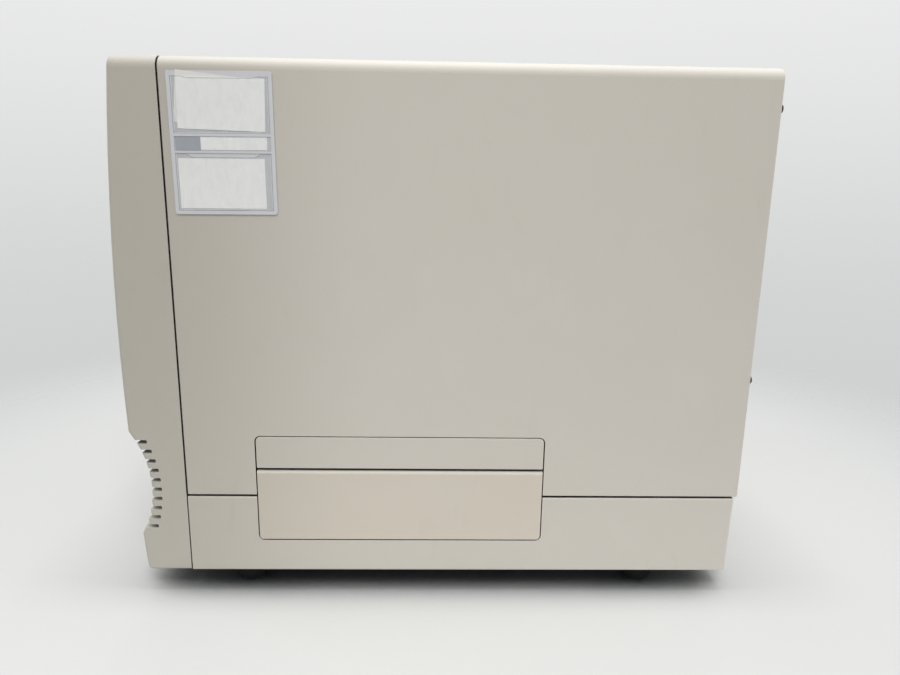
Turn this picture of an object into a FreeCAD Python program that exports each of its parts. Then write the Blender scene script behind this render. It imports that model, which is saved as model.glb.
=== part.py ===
import FreeCAD, Part
import math
import os

# Real-time PCR machine, in millimetres. +Z is up, -Y is the front, +X is the side with the plate drawer.
# The origin is on the bench, under the middle of the machine.

V = FreeCAD.Vector
X_AXIS, Y_AXIS, Z_AXIS = V(1, 0, 0), V(0, 1, 0), V(0, 0, 1)

# Overall size
WIDTH = 540.0
BODY_HEIGHT = 540.0
FOOT_HEIGHT = 25.0
SIDE_LENGTH = 605.0
BULGE = 59.6
REAR_SCREW_HEAD = 3.6
SEAM_Y = (BULGE - SIDE_LENGTH - REAR_SCREW_HEAD) / 2
REAR_Y = SEAM_Y + SIDE_LENGTH
SIDE_X = WIDTH / 2
BODY_Z = FOOT_HEIGHT
TOP_Z = BODY_Z + BODY_HEIGHT

# Casing sheet and seams
SHEET = 2.0
ROLL_RADIUS = 12.5
EDGE_RADIUS = 1.4
PAN_BEND = 2.0
SEAM_GAP = 1.4
LOW_SEAM_GAP = 2.2
LOW_SEAM_Z = BODY_Z + 89.4
HEM = 10.0
FRONT_FLANGE = 8.0
FRONT_LIP = 7.0
REAR_FLANGE = 18.0
BASE_REAR_STEP = 3.0
BASE_REAR_TAPER = 2.0
FLOOR_PLATE = 4.0
FLOOR_TOP = BODY_Z + SHEET + FLOOR_PLATE

# Openings in the right side
DOOR_FRONT_Y = SEAM_Y + 75.5
DOOR_REAR_Y = SEAM_Y + 388.1
DOOR_BOTTOM_Z = BODY_Z + 36.8
DOOR_SPLIT_Z = BODY_Z + 120.3
DOOR_TOP_Z = BODY_Z + 158.5
DOOR_CORNER = 6.5
DOOR_GAP = 1.1
SPLIT_GAP = 1.3
DRAWER_PROUD = 0.5

# Front bezel, as distances ahead of the seam and heights above the body's underside
BEZEL_WALL = 3.5
FRONT_ARC_RADIUS = 3000.0
FRONT_ARC_Z = 260.0
RECESS_RADIUS = 112.0
RECESS_Z = 98.0
RECESS_DEPTH_Y = 38.3
CHIN_TOP_Y = 52.0
CHIN_MIDDLE_Y = 50.6
CHIN_BOTTOM_Y = 48.6
LIP_RADIUS = 5.0
CHIN_RADIUS = 5.0
TOE_RADIUS = 5.0
FRONT_EDGE = 4.0
SLOT_COUNT = 10
SLOT_PITCH = 10.86
SLOT_FIRST_Z = 53.1
SLOT_HEIGHT = 4.2
SLOT_END_RADIUS = 135.0
SLOT_END_Z = 95.5
SLOT_END_Y = 26.4
NOSE_LEAN = 1.6
NOSE_TIP = 0.6
NOSE_UNDER = 1.9
SLAT_DEPTH = 10.5
SLAT_WALL = 2.0
RIB_DEPTH = 20.0
RIB_WIDTH = 3.0
RIB_X = (-240, -160, -80, 0, 80, 160, 240)
BUTTON_X = -166.0
BUTTON_Z = BODY_Z + 188.0
LENS_X = (-226.0, -210.0, -194.0)

# Plate drawer
PLATE_X = 100.0
PLATE_Y = SEAM_Y + 232.5
TRAY_Z = 96.0
TRAY_SHEET = 1.5
TRAY_BACK_X = -8.0
TRAY_FRONT_X = 264.0
TRAY_HALF = 135.0
SLIDE_Z = 108.0
SLIDE_BACK_X = 10.0
SLIDE_FRONT_X = 261.0
PLATE_LENGTH = 127.8
PLATE_WIDTH = 85.5
NEST_CLEAR = 0.4

# Rack and pinion of the drawer
MODULE = 1.5
PINION_TEETH = 18
PRESSURE = math.radians(20)
BACKLASH = 0.3
PITCH_RADIUS = MODULE * PINION_TEETH / 2
RACK_PITCH_Z = 88.0
RACK_Y = PLATE_Y + 122.0
RACK_WIDTH = 8.0
PINION_X = 246.0

# Heating, lid, block lift
RUNNING = 0.06
BLOCK_TOP = 94.0
PLATEN_Z = 128.0
CARRIAGE_Z = 158.0
WELL_PITCH = 9.0
WELL_ROWS = 8
WELL_COLUMNS = 12
BRIDGE_TOP = 202.0
LIFT_SCREW_Y = PLATE_Y + 95.0
LIFT_POST_Y = PLATE_Y - 95.0
LID_SCREW_Y = PLATE_Y - 113.0

# Scanning optics
DECK_Z = 300.0
DECK_SHEET = 8.0
DECK_SIDE = 215.0
DECK_FRONT_Y = -236.0
DECK_REAR_Y = 268.0
DECK_RIB = 14.0
DECK_WINDOW_X = 50.0
DECK_WINDOW_Y = 70.0
DECK_TOP = DECK_Z + DECK_SHEET
ROD_Z = 270.0
ROD_FRONT_Y = PLATE_Y - 72.0
ROD_BACK_Y = PLATE_Y + 72.0
SCAN_SCREW_Y = PLATE_Y + 94.0
MIRROR_Y = PLATE_Y + 96.0
MIRROR_Z = DECK_TOP + 26.0
LASER_X = -120.0
LASER_FRONT_Y = -190.0
LASER_REAR_Y = 110.0

# Electronics
BOARD_COUNT = 6
BOARD_PITCH = 39.0
BOARD_FIRST_Y = -190.0

# Feet, rear fittings and the pocket on the side
FOOT_X = 233.5
FOOT_YS = (SEAM_Y + 57.7, SEAM_Y + 509.0)
SCREW_ZS = (BODY_Z + 223.7, BODY_Z + 501.6)
SCREW_INSET = 8.0
FAN_X = 125.0
FAN_Z = 440.0
FAN_SIZE = 120.0
FAN_EAR = 0.875
INLET_X = -200.0
SWITCH_X = -149.0
PORT_XS = (-40.0, 10.0)
FITTING_Z = 164.0
FAN_DEPTH = 38.0
PANEL_Y = REAR_Y - 2 * SHEET
PANEL_FACE = REAR_Y - SHEET
GUARD_WIRE = 1.0
POCKET_Y = SEAM_Y + 9.6
POCKET_WIDTH = 100.2
POCKET_Z = BODY_Z + 391.2
POCKET_HEIGHT = 134.3
POCKET_TILT = 0.45
POCKET_BACK = 0.7
POCKET_RIM = 1.6
POCKET_SIDE = 3.5
CARD_THICK = 0.2


def box(x0, x1, y0, y1, z0, z1):
    """A block between two corners."""
    return Part.makeBox(x1 - x0, y1 - y0, z1 - z0, V(x0, y0, z0))


def rod(radius, start, end):
    """A cylinder from one point to another."""
    a, b = V(*start), V(*end)
    return Part.makeCylinder(radius, (b - a).Length, a, b - a)


def tube(outer, inner, start, end):
    return rod(outer, start, end).cut(rod(inner, start, end))


def fuse(shapes):
    """One solid from several that touch or overlap."""
    first, *rest = shapes
    return first.fuse(rest).removeSplitter() if rest else first


def group(shapes):
    """Separate solids kept in one node."""
    solids = [s for shape in shapes for s in shape.Solids]
    return Part.makeCompound(solids)


def rounded_wire(points):
    """A closed wire through (position, radius) corners, with an arc at each corner of non-zero radius."""
    edges, ends = [], []
    count = len(points)
    for i, (corner, radius) in enumerate(points):
        before, after = points[i - 1][0], points[(i + 1) % count][0]
        u, w = (before - corner).normalize(), (after - corner).normalize()
        if radius <= 0:
            ends.append((corner, None, corner))
            continue
        half = u.getAngle(w) / 2
        reach = radius / math.tan(half)
        bisector = (u + w).normalize()
        middle = corner + bisector * (radius / math.sin(half) - radius)
        ends.append((corner + u * reach, middle, corner + w * reach))
    for i, (start, middle, end) in enumerate(ends):
        if middle is not None:
            edges.append(Part.Arc(start, middle, end).toShape())
        following = ends[(i + 1) % count][0]
        if (following - end).Length > 1e-6:
            edges.append(Part.LineSegment(end, following).toShape())
    return Part.Wire(edges)


def prism(points, plane, start, depth):
    """Extrudes an outline of (u, v, radius) corners that lies in the plane "xy", "xz" or "yz" at start."""
    def place(u, v):
        return {"xy": V(u, v, start), "xz": V(u, start, v), "yz": V(start, u, v)}[plane]

    along = {"xy": Z_AXIS, "xz": Y_AXIS, "yz": X_AXIS}
    wire = rounded_wire([(place(u, v), r) for u, v, r in points])
    return Part.Face(wire).extrude(along[plane] * depth)


def rounded_plate(u0, u1, v0, v1, radius, plane, start, depth):
    corners = [(u0, v0, radius), (u1, v0, radius), (u1, v1, radius), (u0, v1, radius)]
    return prism(corners, plane, start, depth)


def revolve(points, centre, axis="z"):
    """Turns an (r, h) outline round a line through centre along Z, Y or X."""
    rows = [(V(r, 0, h), c) for r, h, c in points]
    solid = Part.Face(rounded_wire(rows)).revolve(V(0, 0, 0), Z_AXIS, 360)
    if axis == "y":
        solid.rotate(V(0, 0, 0), X_AXIS, -90)
    if axis == "x":
        solid.rotate(V(0, 0, 0), Y_AXIS, 90)
    solid.translate(V(*centre))
    return solid


def edges_where(shape, test):
    return [e for e in shape.Edges if test(e)]


def soften(shape, radius, test):
    """Rounds the edges that pass a test."""
    chosen = edges_where(shape, test)
    return shape.makeFillet(radius, chosen) if chosen else shape


def pan_head(radius, height, shank, x, y, z, facing):
    """A cross-recessed pan-head screw whose underside is at the point; facing is "+y", "-z" or "+z"."""
    profile = [(0, 0, 0), (radius, 0, 0), (radius, height, height * 0.45), (0, height, 0)]
    head = revolve(profile, (0, 0, 0))
    arm, wide, deep = radius * 0.55, radius * 0.16, height * 0.6
    cross = fuse([box(-arm, arm, -wide, wide, height - deep, height + 1),
                  box(-wide, wide, -arm, arm, height - deep, height + 1)])
    screw = head.cut(cross)
    if shank > 0:
        screw = fuse([screw, rod(radius * 0.5, (0, 0, -shank), (0, 0, 0.2))])
    if facing == "+y":
        screw.rotate(V(0, 0, 0), X_AXIS, -90)
    if facing == "-z":
        screw.rotate(V(0, 0, 0), X_AXIS, 180)
    screw.translate(V(x, y, z))
    return screw


# Casing

def casing_section(inset, bottom, roll):
    """The inverted-U outline of the casing seen from the front, moved inwards by inset."""
    side, top = SIDE_X - inset, TOP_Z - inset
    return [(-side, bottom, 0), (-side, top, roll), (side, top, roll), (side, bottom, 0)]


def door_hole(clear):
    """The rounded opening that the drawer front and the access cover share, grown by a clearance."""
    return rounded_plate(DOOR_FRONT_Y - clear, DOOR_REAR_Y + clear, DOOR_BOTTOM_Z - clear, DOOR_TOP_Z + clear,
                         DOOR_CORNER + clear, "yz", SIDE_X - 30, 60)


def make_top_cover():
    """Folded sheet cover: two sides and a top with a rolled edge, hems at the seams, a flange at the rear."""
    front, rear = SEAM_Y + SEAM_GAP / 2, REAR_Y
    bottom = LOW_SEAM_Z + LOW_SEAM_GAP / 2
    length = rear - front
    outer = prism(casing_section(0, bottom, ROLL_RADIUS), "xz", front, length)
    inner = prism(casing_section(SHEET, bottom - 1, ROLL_RADIUS - SHEET), "xz", front - 1, length + 2)
    low_hem = box(-SIDE_X + HEM, SIDE_X - HEM, front - 1, rear + 1, bottom - 1, bottom + SHEET + 1)
    hem_floor = box(-SIDE_X + 0.5, SIDE_X - 0.5, front, rear, bottom, bottom + SHEET).cut(low_hem)
    front_window = prism(casing_section(FRONT_FLANGE, bottom - 1, 3), "xz", front - 1, 5)
    front_flange = prism(casing_section(1, bottom, ROLL_RADIUS - 1), "xz", front, SHEET)
    rear_window = prism(casing_section(REAR_FLANGE, bottom - 1, 6), "xz", rear - 5, 10)
    rear_flange = prism(casing_section(1, bottom, ROLL_RADIUS - 1), "xz", rear - SHEET, SHEET)
    shell = outer.cut(inner)
    shell = fuse([shell, hem_floor, front_flange.cut(front_window), rear_flange.cut(rear_window)])
    shell = soften(shell, EDGE_RADIUS, lambda e: is_casing_rim(e, front, rear, bottom))
    shell = shell.cut(door_hole(0.0))
    for side in (-1, 1):
        for z in SCREW_ZS:
            x = side * (SIDE_X - SCREW_INSET)
            shell = shell.cut(rod(2.4, (x, rear - 6, z), (x, rear + 1, z)))
    return shell


def is_casing_rim(edge, front, rear, bottom):
    """True for the outer edge of the cover at its front seam, rear and lower seam."""
    box_ = edge.BoundBox
    on_front = abs(box_.YMax - front) < 1e-3
    on_rear = abs(box_.YMin - rear) < 1e-3
    outside = max(abs(box_.XMin), abs(box_.XMax)) > SIDE_X - 1e-3 or box_.ZMax > TOP_Z - 1e-3
    inner_edge = abs(box_.XMax) < SIDE_X - HEM + 1 and box_.ZMax < TOP_Z - HEM + 1
    on_low = box_.ZMax < bottom + 1e-3 and min(abs(box_.XMin), abs(box_.XMax)) > SIDE_X - 1e-3
    return (outside and not inner_edge and (on_front or on_rear)) or on_low


def make_base_pan():
    """Folded pan under the low seam: floor, two sides, a rear wall that leans in, a hem round the top."""
    front = SEAM_Y + SEAM_GAP / 2
    rear_top = REAR_Y - BASE_REAR_STEP
    rear_bottom = rear_top - BASE_REAR_TAPER
    top = LOW_SEAM_Z - LOW_SEAM_GAP / 2
    side = [(front, BODY_Z, 0), (rear_bottom, BODY_Z, 0), (rear_top, top, 0), (front, top, 0)]
    pan = prism(side, "yz", -SIDE_X, WIDTH)
    pan = soften(pan, PAN_BEND + 1, lambda e: e.BoundBox.ZLength > 40 and e.BoundBox.YMin > front + 1)
    pan = soften(pan, PAN_BEND, lambda e: e.BoundBox.ZMax < BODY_Z + 0.1 and e.BoundBox.YMax > front + 1)
    pan = soften(pan, EDGE_RADIUS, lambda e: e.BoundBox.ZMin > top - 0.1 and e.BoundBox.YMax > front + 1)
    hollow = [(front - 5, BODY_Z + SHEET, 0), (rear_bottom - SHEET, BODY_Z + SHEET, 0),
              (rear_top - SHEET, top - SHEET, 0), (front - 5, top - SHEET, 0)]
    pan = pan.cut(prism(hollow, "yz", -SIDE_X + SHEET, WIDTH - 2 * SHEET))
    mouth = box(-SIDE_X + HEM, SIDE_X - HEM, front - 5, rear_top - HEM, top - SHEET - 1, top + 5)
    pan = pan.cut(mouth).cut(door_hole(0.0))
    front_lip = box(-SIDE_X + 1, SIDE_X - 1, front, front + SHEET, BODY_Z + 1, BODY_Z + FRONT_LIP)
    pan = fuse([pan, front_lip])
    for x in (-FOOT_X, FOOT_X):
        for y in FOOT_YS:
            pan = pan.cut(rod(4.2, (x, y, BODY_Z - 1), (x, y, BODY_Z + 4)))
    return pan.cut(Part.makeCompound(floor_intake()))


def floor_intake():
    """Two rows of air slots through the floor."""
    return [box(x, x + 4, y, y + 45, BODY_Z - 1, BODY_Z + 10) for y in (180, 240) for x in range(-100, -20, 10)]


def bezel_outline(inset, back):
    """Side profile of the front bezel, moved inwards by inset and closed at the plane y = back."""
    front_centre = V(0, SEAM_Y - BULGE + FRONT_ARC_RADIUS, BODY_Z + FRONT_ARC_Z)
    recess_centre = V(0, SEAM_Y - RECESS_DEPTH_Y - RECESS_RADIUS, BODY_Z + RECESS_Z)
    front_r, recess_r = FRONT_ARC_RADIUS - inset, RECESS_RADIUS + inset
    top, bottom = TOP_Z + 20, BODY_Z + inset

    def on_front(z):
        return V(0, front_centre.y - math.sqrt(front_r ** 2 - (z - front_centre.z) ** 2), z)

    def on_recess(z):
        return V(0, recess_centre.y + math.sqrt(recess_r ** 2 - (z - recess_centre.z) ** 2), z)

    lip_z = BODY_Z + RECESS_Z
    for _ in range(6):
        reach = on_front(lip_z).y - recess_centre.y
        lip_z = recess_centre.z + math.sqrt(recess_r ** 2 - reach ** 2)
    chin_y = SEAM_Y - CHIN_TOP_Y + inset
    chin_z = recess_centre.z - math.sqrt(recess_r ** 2 - (chin_y - recess_centre.y) ** 2)
    lip, chin = on_front(lip_z), V(0, chin_y, chin_z)
    toe = V(0, SEAM_Y - CHIN_BOTTOM_Y + inset, bottom)
    chin_middle = V(0, SEAM_Y - CHIN_MIDDLE_Y + inset, (chin_z + bottom) / 2)
    arcs = [Part.Arc(on_front(top), on_front((top + lip_z) / 2), lip).toShape(),
            Part.Arc(lip, on_recess(recess_centre.z), chin).toShape(),
            Part.Arc(chin, chin_middle, toe).toShape()]
    lines = [Part.LineSegment(V(0, back, top), on_front(top)).toShape(),
             Part.LineSegment(toe, V(0, back, bottom)).toShape(),
             Part.LineSegment(V(0, back, bottom), V(0, back, top)).toShape()]
    return Part.Wire(Part.__sortEdges__(arcs + lines)), {"lip": lip, "chin": chin, "toe": toe}


def bezel_solid(inset, back):
    """The bezel's outer or inner form: the side profile between two rolled sides."""
    outline, corners = bezel_outline(inset, back)
    profile = Part.Face(outline).extrude(V(WIDTH + 20, 0, 0))
    profile.translate(V(-SIDE_X - 10, 0, 0))
    for corner, radius in (("lip", LIP_RADIUS), ("chin", CHIN_RADIUS), ("toe", TOE_RADIUS)):
        point = corners[corner]
        profile = soften(profile, radius - inset, lambda e: runs_along_x(e, point))
    roll = max(ROLL_RADIUS - inset, 1.0)
    section = [(-SIDE_X + inset, BODY_Z - 5, 0), (-SIDE_X + inset, TOP_Z - inset, roll),
               (SIDE_X - inset, TOP_Z - inset, roll), (SIDE_X - inset, BODY_Z - 5, 0)]
    return profile.common(prism(section, "xz", SEAM_Y - BULGE - 10, BULGE + 30))


def runs_along_x(edge, point):
    """True for the edge that crosses the machine at a point of the side profile."""
    b = edge.BoundBox
    return b.XLength > WIDTH and abs(b.Center.y - point.y) < 0.05 and abs(b.Center.z - point.z) < 0.05


def slot_levels():
    return [BODY_Z + SLOT_FIRST_Z + i * SLOT_PITCH for i in range(SLOT_COUNT)]


def recess_y(z):
    """Where the louvred recess lies at a height."""
    drop = math.sqrt(RECESS_RADIUS ** 2 - (z - BODY_Z - RECESS_Z) ** 2)
    return SEAM_Y - RECESS_DEPTH_Y - RECESS_RADIUS + drop


def slot_end_y(z):
    """Where the slots end in the side walls, on a flatter arc than the recess."""
    drop = math.sqrt(SLOT_END_RADIUS ** 2 - (z - BODY_Z - SLOT_END_Z) ** 2)
    return SEAM_Y - SLOT_END_Y - SLOT_END_RADIUS + drop


def louvre_comb():
    """All the slots as one full-width cut, which leaves slats with a fine tip and a nose that leans back."""
    half = SLOT_HEIGHT / 2
    clear_y = SEAM_Y - BULGE - 20
    levels = slot_levels()
    outline = [(clear_y, levels[0] - half, 0)]
    for i, z in enumerate(levels):
        end = slot_end_y(z)
        outline += [(end, z - half, 0.8), (end, z + half, 1.4)]
        if i + 1 < len(levels):
            slat_top = levels[i + 1] - half
            tip = recess_y(slat_top)
            outline += [(tip + NOSE_LEAN, z + half, NOSE_UNDER), (tip, slat_top, NOSE_TIP)]
    outline.append((clear_y, levels[-1] + half, 0))
    return prism(outline, "yz", -SIDE_X - 5, WIDTH + 10)


def recess_ring(near, far, x0, x1, low, high):
    """A band behind the recess between two distances from its surface."""
    y, z = SEAM_Y - RECESS_DEPTH_Y - RECESS_RADIUS, BODY_Z + RECESS_Z
    ring = tube(RECESS_RADIUS + far, RECESS_RADIUS + near, (x0, y, z), (x1, y, z))
    return ring.common(box(x0 - 1, x1 + 1, SEAM_Y - BULGE, SEAM_Y - 8, low, high))


def slat_bodies():
    """Depth behind the recess wall for the slats, hollowed out behind each nose."""
    half = SLOT_HEIGHT / 2
    levels = slot_levels()
    inside = SIDE_X - BEZEL_WALL
    low, high = levels[0] - half - SLAT_WALL, levels[-1] + half + SLAT_WALL
    band = recess_ring(1.0, SLAT_DEPTH, -inside - 1, inside + 1, low, high)
    above, below = half + SLAT_WALL, SLOT_PITCH - half - SLAT_WALL
    pockets = [recess_ring(BEZEL_WALL, SLAT_DEPTH + 2, -inside, inside, z + above, z + below)
               for z in levels[:-1]]
    return band.cut(Part.makeCompound(pockets))


def bezel_rib(x):
    """A vertical rib that carries the louvre fins from behind."""
    return recess_ring(1.0, RIB_DEPTH, x - RIB_WIDTH / 2, x + RIB_WIDTH / 2, BODY_Z + 30, BODY_Z + 172)


def status_window(index):
    """The opening for one status lens, left of the power button."""
    x = LENS_X[index]
    return rounded_plate(x - 5, x + 5, BUTTON_Z - 2, BUTTON_Z + 2, 1.2, "xz", SEAM_Y - BULGE - 5, 20)


def make_front_bezel():
    """Hollow moulded front: bowed face, rolled top corners, louvred recess and chin."""
    back = SEAM_Y - SEAM_GAP / 2
    body = bezel_solid(0.0, back)
    body = soften(body, FRONT_EDGE, is_bezel_front_edge)
    hollow = bezel_solid(BEZEL_WALL, back + 20)
    shell = body.cut(hollow)
    ribs = [bezel_rib(x).common(bezel_solid(1.0, back)) for x in RIB_X]
    # The bosses are sunk 1 mm into the side walls
    boss_x = SIDE_X - BEZEL_WALL - 4
    places = [(x, BODY_Z + z) for x in (-boss_x, boss_x) for z in (210, 350, 490)]
    bosses = [rod(5, (x, SEAM_Y - BULGE, z), (x, back, z)).common(bezel_solid(1.0, back)) for x, z in places]
    pins = [rod(3.5, (x, back - 2, z), (x, back + SEAM_GAP, z)) for x, z in places]
    shell = fuse([shell, slat_bodies().common(bezel_solid(1.0, back)), *ribs, *bosses, *pins])
    shell = shell.cut(louvre_comb())
    shell = shell.cut(Part.makeCompound([status_window(i) for i in range(len(LENS_X))]))
    return shell.cut(rod(9.0, (BUTTON_X, SEAM_Y - BULGE - 5, BUTTON_Z), (BUTTON_X, SEAM_Y - 40, BUTTON_Z)))


def is_bezel_front_edge(edge):
    """True for the edges between the bowed front and the sides, the rolled corners and the top."""
    b = edge.BoundBox
    ahead = b.YMax < SEAM_Y - 30
    on_side = abs(abs(b.XMin) - SIDE_X) < 1e-3 and b.XLength < 1e-3
    on_roll = b.ZMin > TOP_Z - ROLL_RADIUS - 0.5 and abs(b.XMin) > SIDE_X - ROLL_RADIUS - 1 and b.ZLength > 5
    on_top = b.ZMin > TOP_Z - 0.5
    return ahead and (on_side or on_roll or on_top) and not (b.ZMax < BODY_Z + 0.5)


def make_status_lenses():
    y, half, rise = SEAM_Y - BULGE + 0.9, 4.8, 1.8
    return group([rounded_plate(x - half, x + half, BUTTON_Z - rise, BUTTON_Z + rise, 1.0, "xz", y, 6)
                  for x in LENS_X])


def make_power_button():
    """Round push button with a dished face and a stem into the bezel."""
    y = SEAM_Y - BULGE + 0.6
    profile = [(0, 1.2, 0), (5.5, 0.4, 0), (8.6, 0, 0.8), (8.6, 9, 0), (0, 9, 0)]
    cap = revolve(profile, (BUTTON_X, y, BUTTON_Z), "y")
    stem = rod(3, (BUTTON_X, y + 8.8, BUTTON_Z), (BUTTON_X, y + 20, BUTTON_Z))
    return fuse([cap, stem])


def make_air_filter():
    """Framed filter pad behind the louvres."""
    y, thick, rim = SEAM_Y - 17.5, 7, 6
    side, low, high = SIDE_X - BEZEL_WALL - 3, BODY_Z + 34, BODY_Z + 160
    frame = box(-side, side, y, y + thick, low, high)
    frame = frame.cut(box(rim - side, side - rim, y - 1, y + thick + 1, low + rim, high - rim))
    pad = box(rim - side, side - rim, y + 1.5, y + 5.5, low + rim, high - rim)
    bars = [box(x - 2, x + 2, y, y + thick, low + rim, high - rim) for x in (-131, 0, 131)]
    return fuse([frame, pad, *bars])


def make_rear_panel():
    """Rear sheet with fan openings, vent slots and cut-outs for the power and data fittings."""
    low = LOW_SEAM_Z + LOW_SEAM_GAP / 2
    panel = rounded_plate(4 - SIDE_X, SIDE_X - 4, low + 4, TOP_Z - 6, 8, "xz", PANEL_Y, SHEET)
    panel = fuse([panel, box(HEM + 2 - SIDE_X, SIDE_X - HEM - 2, PANEL_Y, PANEL_FACE, low, low + 20)])

    def through(radius, x, z):
        return rod(radius, (x, PANEL_Y - 2, z), (x, PANEL_FACE + 2, z))

    def slot(x, half, low_z, high_z, radius):
        return rounded_plate(x - half, x + half, low_z, high_z, radius, "xz", PANEL_Y - 2, SHEET + 4)

    ear = FAN_SIZE * FAN_EAR / 2
    ears = [(sx * ear, sz * ear) for sx in (-1, 1) for sz in (-1, 1)]
    cuts = [through(FAN_SIZE / 2 - 4, x, FAN_Z) for x in (-FAN_X, FAN_X)]
    cuts += [through(2.2, x + dx, FAN_Z + dz) for x in (-FAN_X, FAN_X) for dx, dz in ears]
    cuts += [slot(x, 3, 225, 305, 2.9) for x in range(60, 231, 12)]
    cuts.append(slot(INLET_X, 24, FITTING_Z - 14, FITTING_Z + 14, 0))
    cuts.append(slot(SWITCH_X, 11, FITTING_Z - 15, FITTING_Z + 15, 0))
    cuts += [slot(x, 15.5, FITTING_Z - 6.5, FITTING_Z + 6.5, 3) for x in PORT_XS]
    cuts += [through(2.4, side * (SIDE_X - SCREW_INSET), z) for side in (-1, 1) for z in SCREW_ZS]
    return panel.cut(Part.makeCompound(cuts))


def make_rear_screws():
    """Four screws whose shanks are thinner than the holes that they pass through."""
    x = SIDE_X - SCREW_INSET
    places = [(side * x, z) for side in (-1, 1) for z in SCREW_ZS]
    return group([pan_head(4.5, REAR_SCREW_HEAD, 7.0, x, REAR_Y, z, "+y") for x, z in places])


def make_feet():
    """Round rubber feet, tapered, with a hollow for the screw head."""
    hole, hollow, tread, radius, deep = 4.0, 8.5, 15.5, 18.0, 14.0
    profile = [(hole, FOOT_HEIGHT, 0), (hole, deep, 0), (hollow, deep, 0), (hollow, 0, 0),
               (tread, 0, 2.5), (radius, 8, 2), (radius, FOOT_HEIGHT, 0)]
    return group([revolve(profile, (x, y, 0)) for x in (-FOOT_X, FOOT_X) for y in FOOT_YS])


def make_chassis_plate():
    """Thick floor plate on the pan, with lightening holes and fan intake."""
    plate = rounded_plate(-262, 262, SEAM_Y + 8, REAR_Y - 12, 6, "xy", BODY_Z + SHEET, FLOOR_PLATE)
    holes = [rod(4.4, (x, y, BODY_Z), (x, y, BODY_Z + 10)) for x in (-FOOT_X, FOOT_X) for y in FOOT_YS]
    holes += [rod(14, (x, y, BODY_Z), (x, y, BODY_Z + 10)) for x in (0, 60, 120, 180) for y in (180, 240)]
    return plate.cut(Part.makeCompound(holes + floor_intake()))


# Drawer

def make_drawer_front():
    """Moulded drawer front with a rounded top edge, returned rims, ribs and screw bosses."""
    y0, y1 = DOOR_FRONT_Y + DOOR_GAP, DOOR_REAR_Y - DOOR_GAP
    z0, z1 = DOOR_BOTTOM_Z + DOOR_GAP, DOOR_SPLIT_Z - SPLIT_GAP
    corner = DOOR_CORNER - DOOR_GAP
    face_x, depth, wall = SIDE_X + DRAWER_PROUD, 9.0, 3.0
    back_x = face_x - depth
    outline = prism([(y0, z0, corner), (y1, z0, corner), (y1, z1, 1.0), (y0, z1, 1.0)], "yz", back_x, depth)
    side = prism([(back_x, z0, 0), (face_x, z0, 0.8), (face_x, z1, 4.0), (back_x, z1, 0)], "xz", y0, y1 - y0)
    plan = prism([(back_x, y0, 0), (face_x, y0, 0.8), (face_x, y1, 0.8), (back_x, y1, 0)], "xy", z0, z1 - z0)
    rim = outline.common(side).common(plan)
    hollow = rounded_plate(y0 + wall, y1 - wall, z0 + wall, z1 - wall, 4, "yz", back_x - 10, depth + 10 - wall)
    ribs = [box(back_x + 1, face_x - 2.5, y - 1, y + 1, z0 + 2, z1 - 2)
            for y in (PLATE_Y - 100, PLATE_Y, PLATE_Y + 100)]
    flange_x = TRAY_FRONT_X + TRAY_SHEET
    bosses = [rod(4, (flange_x, PLATE_Y + side * 60, z), (face_x - 2.5, PLATE_Y + side * 60, z))
              for side in (-1, 1) for z in (104, 116)]
    front = fuse([rim.cut(hollow), *ribs, *bosses])
    tray_room = box(back_x - 5, flange_x, PLATE_Y - TRAY_HALF, PLATE_Y + TRAY_HALF, TRAY_Z - 1, TRAY_Z + 30)
    return front.cut(tray_room)


def make_drawer_tray():
    """Folded tray: floor with a block opening, side walls and a front flange bolted to the drawer front."""
    y0, y1 = PLATE_Y - TRAY_HALF, PLATE_Y + TRAY_HALF
    floor = box(TRAY_BACK_X, TRAY_FRONT_X, y0, y1, TRAY_Z, TRAY_Z + TRAY_SHEET)
    walls = [box(TRAY_BACK_X, TRAY_FRONT_X, y, y + TRAY_SHEET, TRAY_Z, TRAY_Z + 24)
             for y in (y0, y1 - TRAY_SHEET)]
    flange = box(TRAY_FRONT_X, TRAY_FRONT_X + TRAY_SHEET, y0 + 20, y1 - 20, TRAY_Z, TRAY_Z + 26)
    tray = fuse([floor, *walls, flange])
    window = rounded_plate(PLATE_X - 41, PLATE_X + 41, PLATE_Y - 59, PLATE_Y + 59, 4, "xy", TRAY_Z - 1, 4)
    lighten = [rounded_plate(x - 20, x + 20, y - 14, y + 14, 6, "xy", TRAY_Z - 1, 4)
               for x in (20, 210) for y in (PLATE_Y - 60, PLATE_Y, PLATE_Y + 60)]
    return tray.cut(Part.makeCompound([window, *lighten]))


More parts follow.
